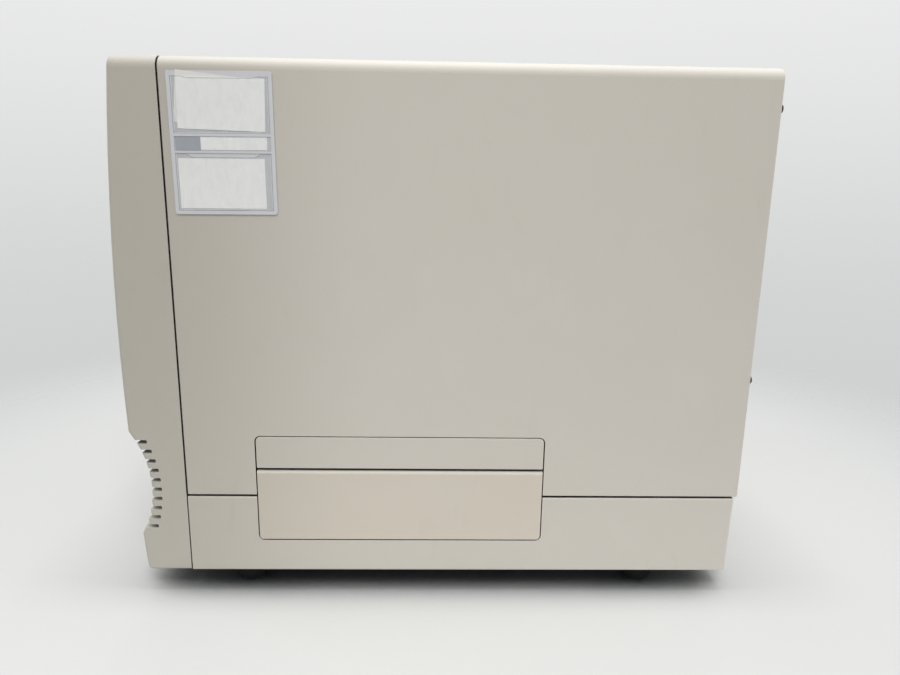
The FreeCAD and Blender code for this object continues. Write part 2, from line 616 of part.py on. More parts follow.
def make_plate_nest():
    """Machined nest for one microplate: a pocket with relieved corners, finger notches and one cut corner."""
    z0 = TRAY_Z + TRAY_SHEET
    half_x, half_y = PLATE_WIDTH / 2 + NEST_CLEAR, PLATE_LENGTH / 2 + NEST_CLEAR
    body = rounded_plate(PLATE_X - 55, PLATE_X + 55, PLATE_Y - 76, PLATE_Y + 76, 6, "xy", z0, 12)
    pocket = box(PLATE_X - half_x, PLATE_X + half_x, PLATE_Y - half_y, PLATE_Y + half_y, z0 + 4, z0 + 24)
    corners = [(PLATE_X + sx * (half_x - 1), PLATE_Y + sy * (half_y - 1)) for sx in (-1, 1) for sy in (-1, 1)]
    reliefs = [rod(2.5, (x, y, z0 + 4), (x, y, z0 + 24)) for x, y in corners]
    window = rounded_plate(PLATE_X - 39.5, PLATE_X + 39.5, PLATE_Y - 57.5, PLATE_Y + 57.5, 3, "xy", z0 - 1, 20)
    notches = [rod(11, (x, PLATE_Y, z0 + 4), (x, PLATE_Y, z0 + 30)) for x in (PLATE_X - 47, PLATE_X + 47)]
    nest = body.cut(Part.makeCompound([pocket, window, *reliefs, *notches]))
    nest = soften(nest, 1.2, lambda e: e.BoundBox.ZMin > z0 + 12 - 1e-3 and e.Length > 100)
    x, y, cut = PLATE_X - 60, PLATE_Y - 80, 14
    return nest.cut(prism([(x, y, 0), (x + cut, y, 0), (x, y + cut, 0)], "xy", z0 - 1, 20))


def rack_profile():
    """Toothed outline of the rack in X and Z, teeth pointing down."""
    pitch = math.pi * MODULE
    half_width = pitch / 4 - BACKLASH / 4
    slope = math.tan(PRESSURE)
    tip_z, root_z = RACK_PITCH_Z - MODULE, RACK_PITCH_Z + 1.25 * MODULE
    start = PINION_X - round((PINION_X - TRAY_BACK_X - 4) / pitch) * pitch
    stop = TRAY_FRONT_X - 4
    points = [V(start - pitch / 2, 0, TRAY_Z), V(start - pitch / 2, 0, root_z)]
    x = start
    while x + pitch / 2 < stop:
        for offset, z in ((-1, root_z), (-1, tip_z), (1, tip_z), (1, root_z)):
            reach = half_width + slope * (z - RACK_PITCH_Z)
            points.append(V(x + offset * reach, 0, z))
        x += pitch
    points += [V(x - pitch / 2, 0, root_z), V(x - pitch / 2, 0, TRAY_Z), points[0]]
    return Part.makePolygon(points)


def make_drawer_rack():
    bar = Part.Face(rack_profile()).extrude(V(0, RACK_WIDTH, 0))
    bar.translate(V(0, RACK_Y - RACK_WIDTH / 2, 0))
    return bar


def involute(base, radius):
    """Angle swept by an involute from its base circle to a radius."""
    return math.tan(math.acos(base / radius)) - math.acos(base / radius)


def pinion_outline():
    """Gear outline in X and Z about the origin, with a gap on the +Z line."""
    base = PITCH_RADIUS * math.cos(PRESSURE)
    tip, root = PITCH_RADIUS + MODULE, PITCH_RADIUS - 1.25 * MODULE
    tooth_half = math.pi / (2 * PINION_TEETH) - BACKLASH / (4 * PITCH_RADIUS)
    at_pitch = involute(base, PITCH_RADIUS)
    steps = 6
    radii = [base + (tip - base) * i / steps for i in range(steps + 1)]
    edges, last, first = [], None, None
    step = 2 * math.pi / PINION_TEETH
    for tooth in range(PINION_TEETH):
        centre = (tooth + 0.5) * step

        def point(radius, angle):
            return V(radius * math.sin(angle), 0, radius * math.cos(angle))

        half = tooth_half + at_pitch
        rise = [point(r, centre - half + involute(base, max(r, base + 1e-9))) for r in radii]
        fall = [point(r, centre + half - involute(base, max(r, base + 1e-9))) for r in reversed(radii)]
        low_in = point(root, centre - half)
        low_out = point(root, centre + half)
        if last is not None:
            edges.append(Part.LineSegment(last, low_in).toShape())
        first = first or low_in
        edges.append(Part.LineSegment(low_in, rise[0]).toShape())
        flank_in, flank_out = Part.BSplineCurve(), Part.BSplineCurve()
        flank_in.interpolate(rise)
        flank_out.interpolate(fall)
        edges += [flank_in.toShape(), Part.LineSegment(rise[-1], fall[0]).toShape(), flank_out.toShape()]
        edges.append(Part.LineSegment(fall[-1], low_out).toShape())
        last = low_out
    edges.append(Part.LineSegment(last, first).toShape())
    return Part.Wire(edges)


def make_drawer_pinion():
    """Involute pinion with a hub on a short shaft."""
    z = RACK_PITCH_Z - PITCH_RADIUS
    gear = Part.Face(pinion_outline()).extrude(V(0, RACK_WIDTH, 0))
    gear.translate(V(PINION_X, RACK_Y - RACK_WIDTH / 2, z))
    hub = rod(7, (PINION_X, RACK_Y - RACK_WIDTH / 2 - 2, z), (PINION_X, RACK_Y + RACK_WIDTH / 2 + 1, z))
    shaft = rod(3, (PINION_X, RACK_Y - 14, z), (PINION_X, RACK_Y + RACK_WIDTH / 2 + 3, z))
    return fuse([gear, hub, shaft])


def make_drawer_motor():
    """Gearmotor with a flange on an upright bracket."""
    z = RACK_PITCH_Z - PITCH_RADIUS
    y = RACK_Y - RACK_WIDTH / 2
    motor, gearhead, step, length = 12.5, 14, 26, 44
    profile = [(0, 0, 0), (motor, 0, 1.5), (motor, step, 0),
               (gearhead, step, 0), (gearhead, length, 0), (0, length, 0)]
    can = revolve(profile, (PINION_X, y - 50.5, z), "y")
    pocket = rod(3.4, (PINION_X, y - 12, z), (PINION_X, y, z))
    plate = rounded_plate(PINION_X - 20, PINION_X + 14, FLOOR_TOP, z + 17, 3, "xz", y - 6.6, 2)
    plate = plate.cut(rod(4.5, (PINION_X, y - 10, z), (PINION_X, y, z)))
    foot = box(PINION_X - 20, PINION_X + 14, y - 24, y - 5, FLOOR_TOP, FLOOR_TOP + 2)
    return fuse([can.cut(pocket), plate, foot])


def channel(side, web, flange, half, thick):
    """A slide member's C section; side is -1 at the front of the tray and 1 behind it."""
    edge = PLATE_Y + side * (TRAY_HALF + 1.5)
    web_y = edge + side * web
    end_y = edge + side * flange
    low, high = SLIDE_Z - half, SLIDE_Z + half
    y0, y1 = sorted((web_y, web_y + side * thick))
    parts = [box(SLIDE_BACK_X, SLIDE_FRONT_X, y0, y1, low, high)]
    y0, y1 = sorted((web_y, end_y))
    parts += [box(SLIDE_BACK_X, SLIDE_FRONT_X, y0, y1, z, z + thick) for z in (low, high - thick)]
    return fuse(parts)


def make_slide_outer():
    """Fixed slide members."""
    return group([channel(side, 12.5, 3.0, 17.5, 1.5) for side in (-1, 1)])


def make_slide_middle():
    """Middle slide members, which move half as far as the drawer."""
    return group([channel(side, 10.0, 3.6, 15.0, 1.5) for side in (-1, 1)])


def make_slide_inner():
    """Inner slide members, on the tray's walls, open towards the middle ones."""
    return group([channel(side, -1.5, 7.6, 12.0, 1.5) for side in (-1, 1)])


def make_rail_brackets():
    """Upright brackets that carry the fixed slide members on the floor plate."""
    parts = []
    for side in (-1, 1):
        edge = PLATE_Y + side * (TRAY_HALF + 1.5 + 14.0)
        y0, y1 = sorted((edge, edge + side * TRAY_SHEET))
        wall = box(SLIDE_BACK_X, SLIDE_FRONT_X, y0, y1, FLOOR_TOP, SLIDE_Z + 20)
        cuts = [rounded_plate(x, x + 56, FLOOR_TOP + 12, SLIDE_Z - 26, 8, "xz", y0 - 2, 6)
                for x in (22, 96, 170)]
        y0, y1 = sorted((edge, edge - side * 16))
        foot = box(SLIDE_BACK_X, SLIDE_FRONT_X, y0, y1, FLOOR_TOP, FLOOR_TOP + TRAY_SHEET)
        parts.append(fuse([wall.cut(Part.makeCompound(cuts)), foot]))
    return group(parts)


def make_access_cover():
    """Lift-off cover above the drawer, with rounded top corners and two spring tongues behind."""
    y0, y1 = DOOR_FRONT_Y + DOOR_GAP, DOOR_REAR_Y - DOOR_GAP
    z0, z1 = DOOR_SPLIT_Z + SPLIT_GAP, DOOR_TOP_Z - DOOR_GAP
    corner = DOOR_CORNER - DOOR_GAP
    rim = prism([(y0, z0, 1.0), (y1, z0, 1.0), (y1, z1, corner), (y0, z1, corner)], "yz", SIDE_X - 8, 8)
    rim = soften(rim, 1.0, lambda e: e.BoundBox.XMin > SIDE_X - 1e-3)
    hollow = rounded_plate(y0 + 2, y1 - 2, z0 + 2, z1 - 2, 3, "yz", SIDE_X - 20, 18)
    tongues = [box(SIDE_X - 20, SIDE_X - 1.5, y - 12, y + 12, z1 - 12, z1 - 10)
               for y in (PLATE_Y - 100, PLATE_Y + 100)]
    return fuse([rim.cut(hollow), *tongues])


# Thermal block

def well_grid(radius_top, radius_bottom, top, depth):
    """Wells or holes on the microplate grid, conical where the two radii differ."""
    wells = []
    for row in range(WELL_ROWS):
        for column in range(WELL_COLUMNS):
            x = PLATE_X + (row - (WELL_ROWS - 1) / 2) * WELL_PITCH
            y = PLATE_Y + (column - (WELL_COLUMNS - 1) / 2) * WELL_PITCH
            corner = V(x, y, top - depth)
            straight = radius_top == radius_bottom
            wells.append(Part.makeCylinder(radius_top, depth, corner) if straight
                         else Part.makeCone(radius_bottom, radius_top, depth, corner))
    return Part.makeCompound(wells)


def make_sample_block():
    """Aluminium block with conical wells, relieved between rows on its sides."""
    step = BLOCK_TOP - 14
    block = rounded_plate(PLATE_X - 37.5, PLATE_X + 37.5, PLATE_Y - 55.5, PLATE_Y + 55.5, 3, "xy", step, 14)
    foot = box(PLATE_X - 39, PLATE_X + 39, PLATE_Y - 57, PLATE_Y + 57, step - 6, step)
    return fuse([block, foot]).cut(well_grid(3.0, 1.6, BLOCK_TOP + 0.01, 11))


def make_peltier_tiles():
    """Six thermoelectric tiles between the block and the heat sink."""
    tiles = []
    for i in range(2):
        for j in range(3):
            x, y = PLATE_X - 37 + i * 38, PLATE_Y - 56 + j * 38
            tiles.append(box(x, x + 36, y, y + 36, BLOCK_TOP - 24, BLOCK_TOP - 20))
    return group(tiles)


def make_heat_sink():
    """Base with fins along the air stream."""
    top = BLOCK_TOP - 24
    base = box(PLATE_X - 50, PLATE_X + 50, PLATE_Y - 72, PLATE_Y + 72, top - 8, top)
    fins = [box(PLATE_X - 50, PLATE_X + 50, y, y + 1.4, top - 34, top - 7.5)
            for y in [PLATE_Y - 72 + i * 6.2 for i in range(24)]]
    return fuse([base, *fins])


def make_block_carrier():
    """Two arms on the heat sink: one holds the lifting nut, the other slides on the post."""
    top = BLOCK_TOP - 24
    shapes = []
    for y, bore in ((LIFT_SCREW_Y, 5.0), (LIFT_POST_Y, 4.0)):
        side = 1 if y > PLATE_Y else -1
        near = PLATE_Y + side * 72
        far = y + side * 11
        arm = box(PLATE_X - 18, PLATE_X + 18, min(near, far), max(near, far), top - 8, top)
        boss = rod(9, (PLATE_X, y, top - 20), (PLATE_X, y, top + 4))
        shapes.append(fuse([arm, boss]).cut(rod(bore + RUNNING, (PLATE_X, y, 0), (PLATE_X, y, 120))))
    return group(shapes)


def make_block_screw():
    """Lifting screw with a hexagon socket on top."""
    y = LIFT_SCREW_Y
    foot = FLOOR_TOP + 0.2
    body = rod(5, (PLATE_X, y, foot), (PLATE_X, y, TRAY_Z - 2))
    collar = rod(8, (PLATE_X, y, foot), (PLATE_X, y, FLOOR_TOP + 4))
    turns = [math.radians(60 * i) for i in range(6)]
    hexagon = [(PLATE_X + 2.9 * math.cos(turn), y + 2.9 * math.sin(turn), 0) for turn in turns]
    return fuse([body, collar]).cut(prism(hexagon, "xy", TRAY_Z - 8, 10))


def fan_frame(size, depth, centre, axis):
    """Square fan housing with mounting ears, a round throat, a hub plate and three spokes."""
    half = size / 2
    throat = half * 0.945
    shell = rounded_plate(-half, half, -half, half, 5, "xy", 0, depth)
    shell = shell.cut(rod(throat, (0, 0, -1), (0, 0, depth + 1)))
    ears = [(sx * half * FAN_EAR, sy * half * FAN_EAR) for sx in (-1, 1) for sy in (-1, 1)]
    holes = [rod(2.2, (u, v, -1), (u, v, depth + 1)) for u, v in ears]
    hub = rod(half * 0.36, (0, 0, 0), (0, 0, 2.5))
    spokes = []
    for i in range(3):
        arm = box(0, throat + 1, -2, 2, 0, 2.5)
        arm.rotate(V(0, 0, 0), Z_AXIS, 30 + 120 * i)
        spokes.append(arm)
    frame = fuse([shell.cut(Part.makeCompound(holes)), hub, *spokes])
    return place_fan(frame, centre, axis)


def fan_rotor(size, depth, centre, axis, blades=7):
    """Fan rotor: a cup-shaped hub with twisted blades that narrow towards the hub."""
    half = size / 2
    hub_r, tip_r = half * 0.37, half * 0.885
    low, high = 3.2, depth - 1.5
    middle, reach = (low + high) / 2, (high - low) / 2 - 0.6
    hub = revolve([(0, low, 0), (hub_r, low, 0), (hub_r, high, 1.5), (0, high, 0)], (0, 0, 0))
    pieces = [hub]
    for i in range(blades):
        root = blade_section(hub_r * 0.9, reach * 0.95, 48, middle, 1.1)
        tip = blade_section(tip_r, reach * 1.05, 28, middle, 0.8)
        blade = Part.makeLoft([root, tip], True, True)
        blade.rotate(V(0, 0, 0), Z_AXIS, 360 * i / blades)
        pieces.append(blade)
    return place_fan(fuse(pieces), centre, axis)


def blade_section(radius, reach, pitch, middle, thick):
    """Section of a blade at a radius: pitch is its angle to the fan's plane, in degrees."""
    slope = math.radians(pitch)
    along = V(0, math.cos(slope), math.sin(slope))
    across = V(0, -math.sin(slope), math.cos(slope))
    centre = V(radius, 0, middle)
    corners = [(-1, -1), (1, -1), (1, 1), (-1, 1)]
    points = [centre + along * (reach * u) + across * (thick * v) for u, v in corners]
    return Part.makePolygon([*points, points[0]])


def place_fan(shape, centre, axis):
    if axis == "y":
        shape.rotate(V(0, 0, 0), X_AXIS, -90)
    if axis == "x":
        shape.rotate(V(0, 0, 0), Y_AXIS, 90)
    shape.translate(V(*centre))
    return shape


BLOCK_FAN_CENTRE = (16, PLATE_Y, BODY_Z + 36)
EXHAUST_Y = PANEL_Y - FAN_DEPTH


def make_exhaust_frames():
    return group([fan_frame(FAN_SIZE, FAN_DEPTH, (x, EXHAUST_Y, FAN_Z), "y") for x in (-FAN_X, FAN_X)])


def make_fan_guards():
    """Wire guards over the exhaust openings: rings welded on four wires that end at the fan's screws."""
    shapes = []
    for x in (-FAN_X, FAN_X):
        centre = V(x, PANEL_FACE + 3 * GUARD_WIRE, FAN_Z)
        shapes += [Part.makeTorus(radius, GUARD_WIRE, centre, Y_AXIS) for radius in (15, 29, 43, 57)]
        for quarter in range(4):
            wire = fuse([rod(GUARD_WIRE, (13, 0, 0), (71, 0, 0)), tube(4, 2.2, (74, -0.8, 0), (74, 0.8, 0))])
            wire.rotate(V(0, 0, 0), Y_AXIS, 45 + 90 * quarter)
            wire.translate(V(x, PANEL_FACE + GUARD_WIRE, FAN_Z))
            shapes.append(wire)
    return group(shapes)


# Heated lid

def make_lid_bridge():
    """Bridge over the drawer: two uprights and a top plate with a reading window."""
    y0, y1 = PLATE_Y - 160, PLATE_Y + 160
    uprights = []
    for y in (y0, y1 - 4):
        wall = box(PLATE_X - 60, PLATE_X + 60, y, y + 4, FLOOR_TOP, BRIDGE_TOP)
        cut = rounded_plate(PLATE_X - 40, PLATE_X + 40, FLOOR_TOP + 24, BRIDGE_TOP - 30, 12, "xz", y - 2, 8)
        uprights.append(wall.cut(cut))
    top = box(PLATE_X - 60, PLATE_X + 60, y0, y1, BRIDGE_TOP - 6, BRIDGE_TOP)
    window = rounded_plate(PLATE_X - 40, PLATE_X + 40, PLATE_Y - 58, PLATE_Y + 58, 6, "xy", BRIDGE_TOP - 8, 12)
    bridge = fuse([*uprights, top]).cut(window)
    return bridge.cut(rod(5, (PLATE_X, LID_SCREW_Y, BRIDGE_TOP - 10), (PLATE_X, LID_SCREW_Y, BRIDGE_TOP + 5)))


def lid_posts():
    return [(PLATE_X + sx * 48, PLATE_Y + sy * 72) for sx in (-1, 1) for sy in (-1, 1)]


def make_guide_posts():
    """Steel posts: four that hang from the bridge for the lid, and one on the floor plate for the block."""
    y = LIFT_POST_Y
    foot = box(PLATE_X - 14, PLATE_X + 14, y - 12, y + 12, FLOOR_TOP, FLOOR_TOP + 6)
    posts = [fuse([rod(4, (PLATE_X, y, FLOOR_TOP), (PLATE_X, y, TRAY_Z - 1.5)), foot])]
    stop = PLATEN_Z + 8
    for x, y in lid_posts():
        head = rod(6, (x, y, stop), (x, y, stop + 2.5))
        posts.append(fuse([rod(4, (x, y, stop), (x, y, BRIDGE_TOP - 6)), head]))
    return group(posts)


def make_lid_carriage():
    """Ring plate that slides on four posts and carries the lifting nut."""
    z = CARRIAGE_Z
    plate = rounded_plate(PLATE_X - 58, PLATE_X + 58, PLATE_Y - 128, PLATE_Y + 84, 6, "xy", z, 6)
    window = rounded_plate(PLATE_X - 38, PLATE_X + 38, PLATE_Y - 56, PLATE_Y + 56, 4, "xy", z - 1, 8)
    bosses = [rod(8, (x, y, z - 3), (x, y, z + 10)) for x, y in lid_posts()]
    nut = rod(9, (PLATE_X, LID_SCREW_Y, z - 6), (PLATE_X, LID_SCREW_Y, z + 8))
    bores = [rod(4 + RUNNING, (x, y, 100), (x, y, 220)) for x, y in lid_posts()]
    bores.append(rod(4 + RUNNING, (PLATE_X, LID_SCREW_Y, 100), (PLATE_X, LID_SCREW_Y, 220)))
    return fuse([plate, *bosses, nut]).cut(window).cut(Part.makeCompound(bores))


def platen_bolts():
    return [(PLATE_X + sx * 26, PLATE_Y + sy * 62) for sx in (-1, 1) for sy in (-1, 1)]


def make_lid_platen():
    """Heated platen with a reading hole over each well, and its shoulder bolts."""
    top = PLATEN_Z + 12
    plate = rounded_plate(PLATE_X - 40, PLATE_X + 40, PLATE_Y - 68, PLATE_Y + 68, 5, "xy", PLATEN_Z, 12)
    recess = rounded_plate(PLATE_X - 37, PLATE_X + 37, PLATE_Y - 55, PLATE_Y + 55, 3, "xy", PLATEN_Z + 7, 8)
    plate = plate.cut(recess).cut(well_grid(2.4, 2.4, PLATEN_Z + 8, 9))
    bolts = [fuse([rod(2, (x, y, top - 2), (x, y, CARRIAGE_Z)), rod(3.5, (x, y, top - 1), (x, y, top + 2))])
             for x, y in platen_bolts()]
    return fuse([plate, *bolts])


def make_lid_springs():
    """Die springs of flat wire round the shoulder bolts."""
    springs = []
    radius, low, high = 5.2, PLATEN_Z + 13, CARRIAGE_Z - 1
    helix = Part.makeHelix((high - low) / 4, high - low, radius)
    wide, thick = 0.9, 0.6
    corners = [(-wide, -thick), (wide, -thick), (wide, thick), (-wide, thick), (-wide, -thick)]
    section = Part.makePolygon([V(radius + u, 0, v) for u, v in corners])
    coil = Part.Wire(helix.Edges).makePipeShell([section], True, True)
    for x, y in platen_bolts():
        spring = coil.copy()
        spring.translate(V(x, y, low))
        springs.append(spring)
    return group(springs)


def make_lid_screw():
    y = LID_SCREW_Y
    screw = rod(4, (PLATE_X, y, PLATEN_Z + 14), (PLATE_X, y, BRIDGE_TOP + 4))
    return fuse([screw, rod(6, (PLATE_X, y, BRIDGE_TOP - 13), (PLATE_X, y, BRIDGE_TOP - 8))])


def stepper(x, y, z, length, axis):
    """Square stepper motor; the point is the middle of its mounting face and axis points out of its back."""
    half = 21.0
    cap, end = 8, 10
    mid = rounded_plate(-half, half, -half, half, 4, "xy", cap, length - cap - end)
    flutes = [rod(3, (u, v, cap), (u, v, length - end)) for u in (-half, half) for v in (-half, half)]
    caps = [rounded_plate(-half, half, -half, half, 6, "xy", z0, depth)
            for z0, depth in ((0, cap), (length - end, end))]
    motor = fuse([mid.cut(Part.makeCompound(flutes)), *caps]).cut(rod(6, (0, 0, -1), (0, 0, 6)))
    if axis == "x":
        motor.rotate(V(0, 0, 0), Y_AXIS, 90)
    motor.translate(V(x, y, z))
    return motor


def make_lid_motor():
    return stepper(PLATE_X, LID_SCREW_Y, BRIDGE_TOP, 40, "z")


# Optics

def make_optics_deck():
    """Rigid optical deck with a scanning window, stiffening ribs and four legs."""
    deck = rounded_plate(-DECK_SIDE, DECK_SIDE, DECK_FRONT_Y, DECK_REAR_Y, 10, "xy", DECK_Z, DECK_SHEET)
    window = rounded_plate(PLATE_X - DECK_WINDOW_X, PLATE_X + DECK_WINDOW_X, PLATE_Y - DECK_WINDOW_Y,
                           PLATE_Y + DECK_WINDOW_Y, 6, "xy", DECK_Z - 30, 60)
    leg_x, front, rear, rib_z = DECK_SIDE - 11, DECK_FRONT_Y + 14, DECK_REAR_Y - 14, DECK_Z - DECK_RIB
    ribs = [box(8 - DECK_SIDE, DECK_SIDE - 8, y - 3, y + 3, rib_z, DECK_Z) for y in (front, 130, rear)]
    ribs += [box(x - 3, x + 3, front, rear, rib_z, DECK_Z) for x in (-leg_x, -40)]
    legs = [rod(9, (x, y, FLOOR_TOP), (x, y, DECK_Z)) for x in (-leg_x, leg_x) for y in (front, rear)]
    return fuse([deck, *ribs, *legs]).cut(window)


def make_scan_rods():
    return group([rod(5, (PLATE_X - 74, y, ROD_Z), (PLATE_X + 74, y, ROD_Z)) for y in (ROD_FRONT_Y, ROD_BACK_Y)])


def make_rod_blocks():
    """End blocks that hang the scanning rods under the deck."""
    blocks = []
    for x in (PLATE_X - 74, PLATE_X + 66):
        block = rounded_plate(ROD_FRONT_Y - 12, SCAN_SCREW_Y + 12, ROD_Z - 12, DECK_Z, 4, "yz", x, 8)
        window = rounded_plate(ROD_FRONT_Y + 12, ROD_BACK_Y - 12, ROD_Z - 20, DECK_Z - 12, 6, "yz", x - 1, 10)
        holes = [rod(5, (x - 1, y, ROD_Z), (x + 9, y, ROD_Z)) for y in (ROD_FRONT_Y, ROD_BACK_Y)]
        holes.append(rod(4 + RUNNING, (x - 1, SCAN_SCREW_Y, ROD_Z), (x + 9, SCAN_SCREW_Y, ROD_Z)))
        blocks.append(block.cut(Part.makeCompound([window, *holes])))
    return group(blocks)


def make_scan_carriage():
    """Carriage with two rod bearings, a drive nut and a beam turning mirror over the lens row."""
    x0, x1 = PLATE_X - 17, PLATE_X + 17
    bridge = rounded_plate(ROD_FRONT_Y - 11, SCAN_SCREW_Y + 10, ROD_Z - 11, ROD_Z + 11, 5, "yz", x0, x1 - x0)
    hollow = rounded_plate(PLATE_Y - 58, PLATE_Y + 58, ROD_Z - 5, ROD_Z + 20, 4, "yz", x0 + 4, x1 - x0 - 8)
    bores = [rod(5 + RUNNING, (x0 - 1, y, ROD_Z), (x1 + 1, y, ROD_Z)) for y in (ROD_FRONT_Y, ROD_BACK_Y)]
    bores.append(rod(4 + RUNNING, (x0 - 1, SCAN_SCREW_Y, ROD_Z), (x1 + 1, SCAN_SCREW_Y, ROD_Z)))
    return bridge.cut(Part.makeCompound([hollow, *bores]))


def make_scan_lenses():
    """Row of lens barrels under the carriage, one for each column of wells."""
    barrels = []
    for i in range(WELL_COLUMNS):
        y = PLATE_Y + (i - (WELL_COLUMNS - 1) / 2) * WELL_PITCH
        barrel = tube(4.0, 2.8, (PLATE_X, y, ROD_Z - 25), (PLATE_X, y, ROD_Z - 11))
        dome = revolve([(0, -24, 0), (2.8, -22.5, 0), (2.8, -20.5, 0), (0, -19, 0)], (PLATE_X, y, ROD_Z))
        barrels.append(fuse([barrel, dome]))
    return group(barrels)


def make_scan_screw():
    y = SCAN_SCREW_Y
    return fuse([rod(4, (PLATE_X - 72, y, ROD_Z), (PLATE_X + 79, y, ROD_Z)),
                 rod(6, (PLATE_X - 65.8, y, ROD_Z), (PLATE_X - 62.5, y, ROD_Z))])


def make_scan_motor():
    return stepper(PLATE_X + 74.2, SCAN_SCREW_Y, ROD_Z, 42, "x")


def make_galvo():
    """Galvanometer body in a clamp block on the deck."""
    y, z = MIRROR_Y, MIRROR_Z
    block = rounded_plate(PLATE_X - 18, PLATE_X + 18, DECK_TOP, z + 16, 3, "xz", y - 12, 24)
    barrel = revolve([(0, 0, 0), (10, 0, 1), (10, 52, 1), (0, 52, 0)], (PLATE_X, y - 20, z), "y")
    return fuse([block, barrel]).cut(rod(3.2, (PLATE_X, y - 22, z), (PLATE_X, y - 10, z)))


def make_galvo_mirror():
    """Small mirror on the galvanometer's shaft."""
    y, z = MIRROR_Y, MIRROR_Z
    plate = box(PLATE_X - 0.9, PLATE_X + 0.9, y - 44, y - 28, z - 8, z + 8)
    holder = rod(4, (PLATE_X, y - 29, z), (PLATE_X, y - 23, z))
    return fuse([plate, holder, rod(3, (PLATE_X, y - 24, z), (PLATE_X, y - 11, z))])


def make_laser_head():
    """Air-cooled laser: a long housing with cooling fins round the tube and a beam nose."""
    x, z, y0, y1 = LASER_X, DECK_TOP, LASER_FRONT_Y, LASER_REAR_Y
    body = rounded_plate(x - 40, x + 40, z + 10, z + 90, 5, "xz", y0, y1 - y0)
    fins = [rounded_plate(x - 48, x + 48, z + 4, z + 98, 6, "xz", y, 2) for y in range(-60, 81, 8)]
    nose = rod(9, (x, y0 - 16, z + 50), (x, y0 + 1, z + 50))
    feet = [box(x - 40, x + 40, y, y + 20, z, z + 10.5) for y in (y0 + 10, y1 - 30)]
    return fuse([body, *fins, nose, *feet])


def make_spectrograph():
    """Sealed box that splits the light, with a sloping lid."""
    x0, x1, y0, y1 = 20, 190, 120, 250
    z = DECK_TOP
    slope, top = 46, z + 74
    outline = [(y0, z, 2), (y1, z, 2), (y1, top, 4), (y0 + slope, top, 8), (y0, z + slope, 4)]
    case = prism(outline, "yz", x0, x1 - x0)
    case = soften(case, 1.5, lambda e: e.BoundBox.XLength < 1e-3 and e.BoundBox.ZMin > z + 1)
    return fuse([case, tube(13, 9, (PLATE_X, y0 - 22, MIRROR_Z), (PLATE_X, y0 + 2, MIRROR_Z))])


def make_camera():
    """Cooled camera on the spectrograph's end wall, with a finned back."""
    x0, z = 190, DECK_TOP
    body = rounded_plate(150, 214, z + 12, z + 66, 4, "yz", x0, 14)
    fins = [box(x0 + 14, x0 + 30, 152, 212, z + 14 + i * 6, z + 16 + i * 6) for i in range(9)]
    back = box(x0 + 13, x0 + 16, 152, 212, z + 14, z + 64)
    return fuse([body, back, *fins])


# Electronics

def make_power_supply():
    """Perforated power supply box with its own terminal cover."""
    x0, x1, y0, y1, z0, z1 = -252, -128, 50, 240, FLOOR_TOP, FLOOR_TOP + 90
    case = box(x0, x1, y0, y1, z0, z1).cut(box(x0 + 1.5, x1 - 1.5, y0 + 1.5, y1 - 1.5, z0 + 1.5, z1 - 1.5))
    vents = [box(x0 + 16 + i * 14, x0 + 22 + i * 14, y0 + 30, y1 - 30, z1 - 3, z1 + 2) for i in range(7)]
    core = box(x0 + 20, x1 - 20, y0 + 1, y1 - 30, z0 + 1, z0 + 52)
    strip = rounded_plate(x0 + 12, x1 - 12, z0 + 8, z0 + 26, 2, "xz", y0 - 12, 13)
    return fuse([case.cut(Part.makeCompound(vents)), core, strip])


def make_card_cage():
    """Open cage with slotted guides for the circuit boards."""
    x0, x1, y0, y1, z0, z1 = -252, -112, BOARD_FIRST_Y - 16, BOARD_FIRST_Y + 212, FLOOR_TOP, 250
    outer = box(x0, x1, y0, y1, z0, z1)
    hollow = box(x0 + 1.5, x1 + 5, y0 + 1.5, y1 - 1.5, z0 + 1.5, z1 - 1.5)
    windows = [rounded_plate(y, y + 62, z, z + 84, 6, "yz", x0 - 2, 6)
               for y in (-198, -124, -50) for z in (44, 146)]
    cage = outer.cut(hollow).cut(Part.makeCompound(windows))
    guides = []
    for i in range(BOARD_COUNT):
        y = BOARD_FIRST_Y + i * BOARD_PITCH
        for z in (z0 + 1, z1 - 6):
            guides += [box(x0 + 4, x1 - 4, low, low + 2.1, z, z + 5) for low in (y - 3, y + 0.9)]
    return fuse([cage, *guides])


def make_circuit_boards():
    """Circuit boards in the cage, each with chips and an edge connector."""
    boards = []
    for i in range(BOARD_COUNT):
        y = BOARD_FIRST_Y + i * BOARD_PITCH
        board = box(-246, -118, y - 0.8, y + 0.8, FLOOR_TOP + 2, 247.5)
        places = [(x, z) for x in (-232, -198, -164) for z in (60, 114, 168)]
        chips = [box(x, x + 24, y + 0.6, y + 3.2, z, z + 24) for x, z in places]
        connector = box(-122, -114, y - 4, y + 5, 100, 190)
        boards.append(fuse([board, *chips, connector]))
    return group(boards)


def make_power_inlet():
    """Mains inlet with three pins in a flanged socket."""
    y, x, z = PANEL_FACE, INLET_X, FITTING_Z
    flange = rounded_plate(x - 30, x + 30, z - 15.5, z + 15.5, 5, "xz", y, 2.6)
    body = rounded_plate(x - 23.4, x + 23.4, z - 13.4, z + 13.4, 3, "xz", y - 24, 24.5)
    mouth = prism([(x - 12, z - 10, 2), (x + 12, z - 10, 2), (x + 12, z + 4, 1),
                   (x + 7, z + 9.5, 1), (x - 7, z + 9.5, 1), (x - 12, z + 4, 1)], "xz", y - 16, 30)
    screws = [rod(2.6, (x + s * 26.6, y + 2, z), (x + s * 26.6, y + 3.6, z)) for s in (-1, 1)]
    places = ((x - 7, z - 3), (x + 7, z - 3), (x, z + 3))
    pins = [box(px - 1, px + 1, y - 17, y - 3, pz - 2, pz + 2) for px, pz in places]
    return fuse([fuse([flange, body, *screws]).cut(mouth), *pins])


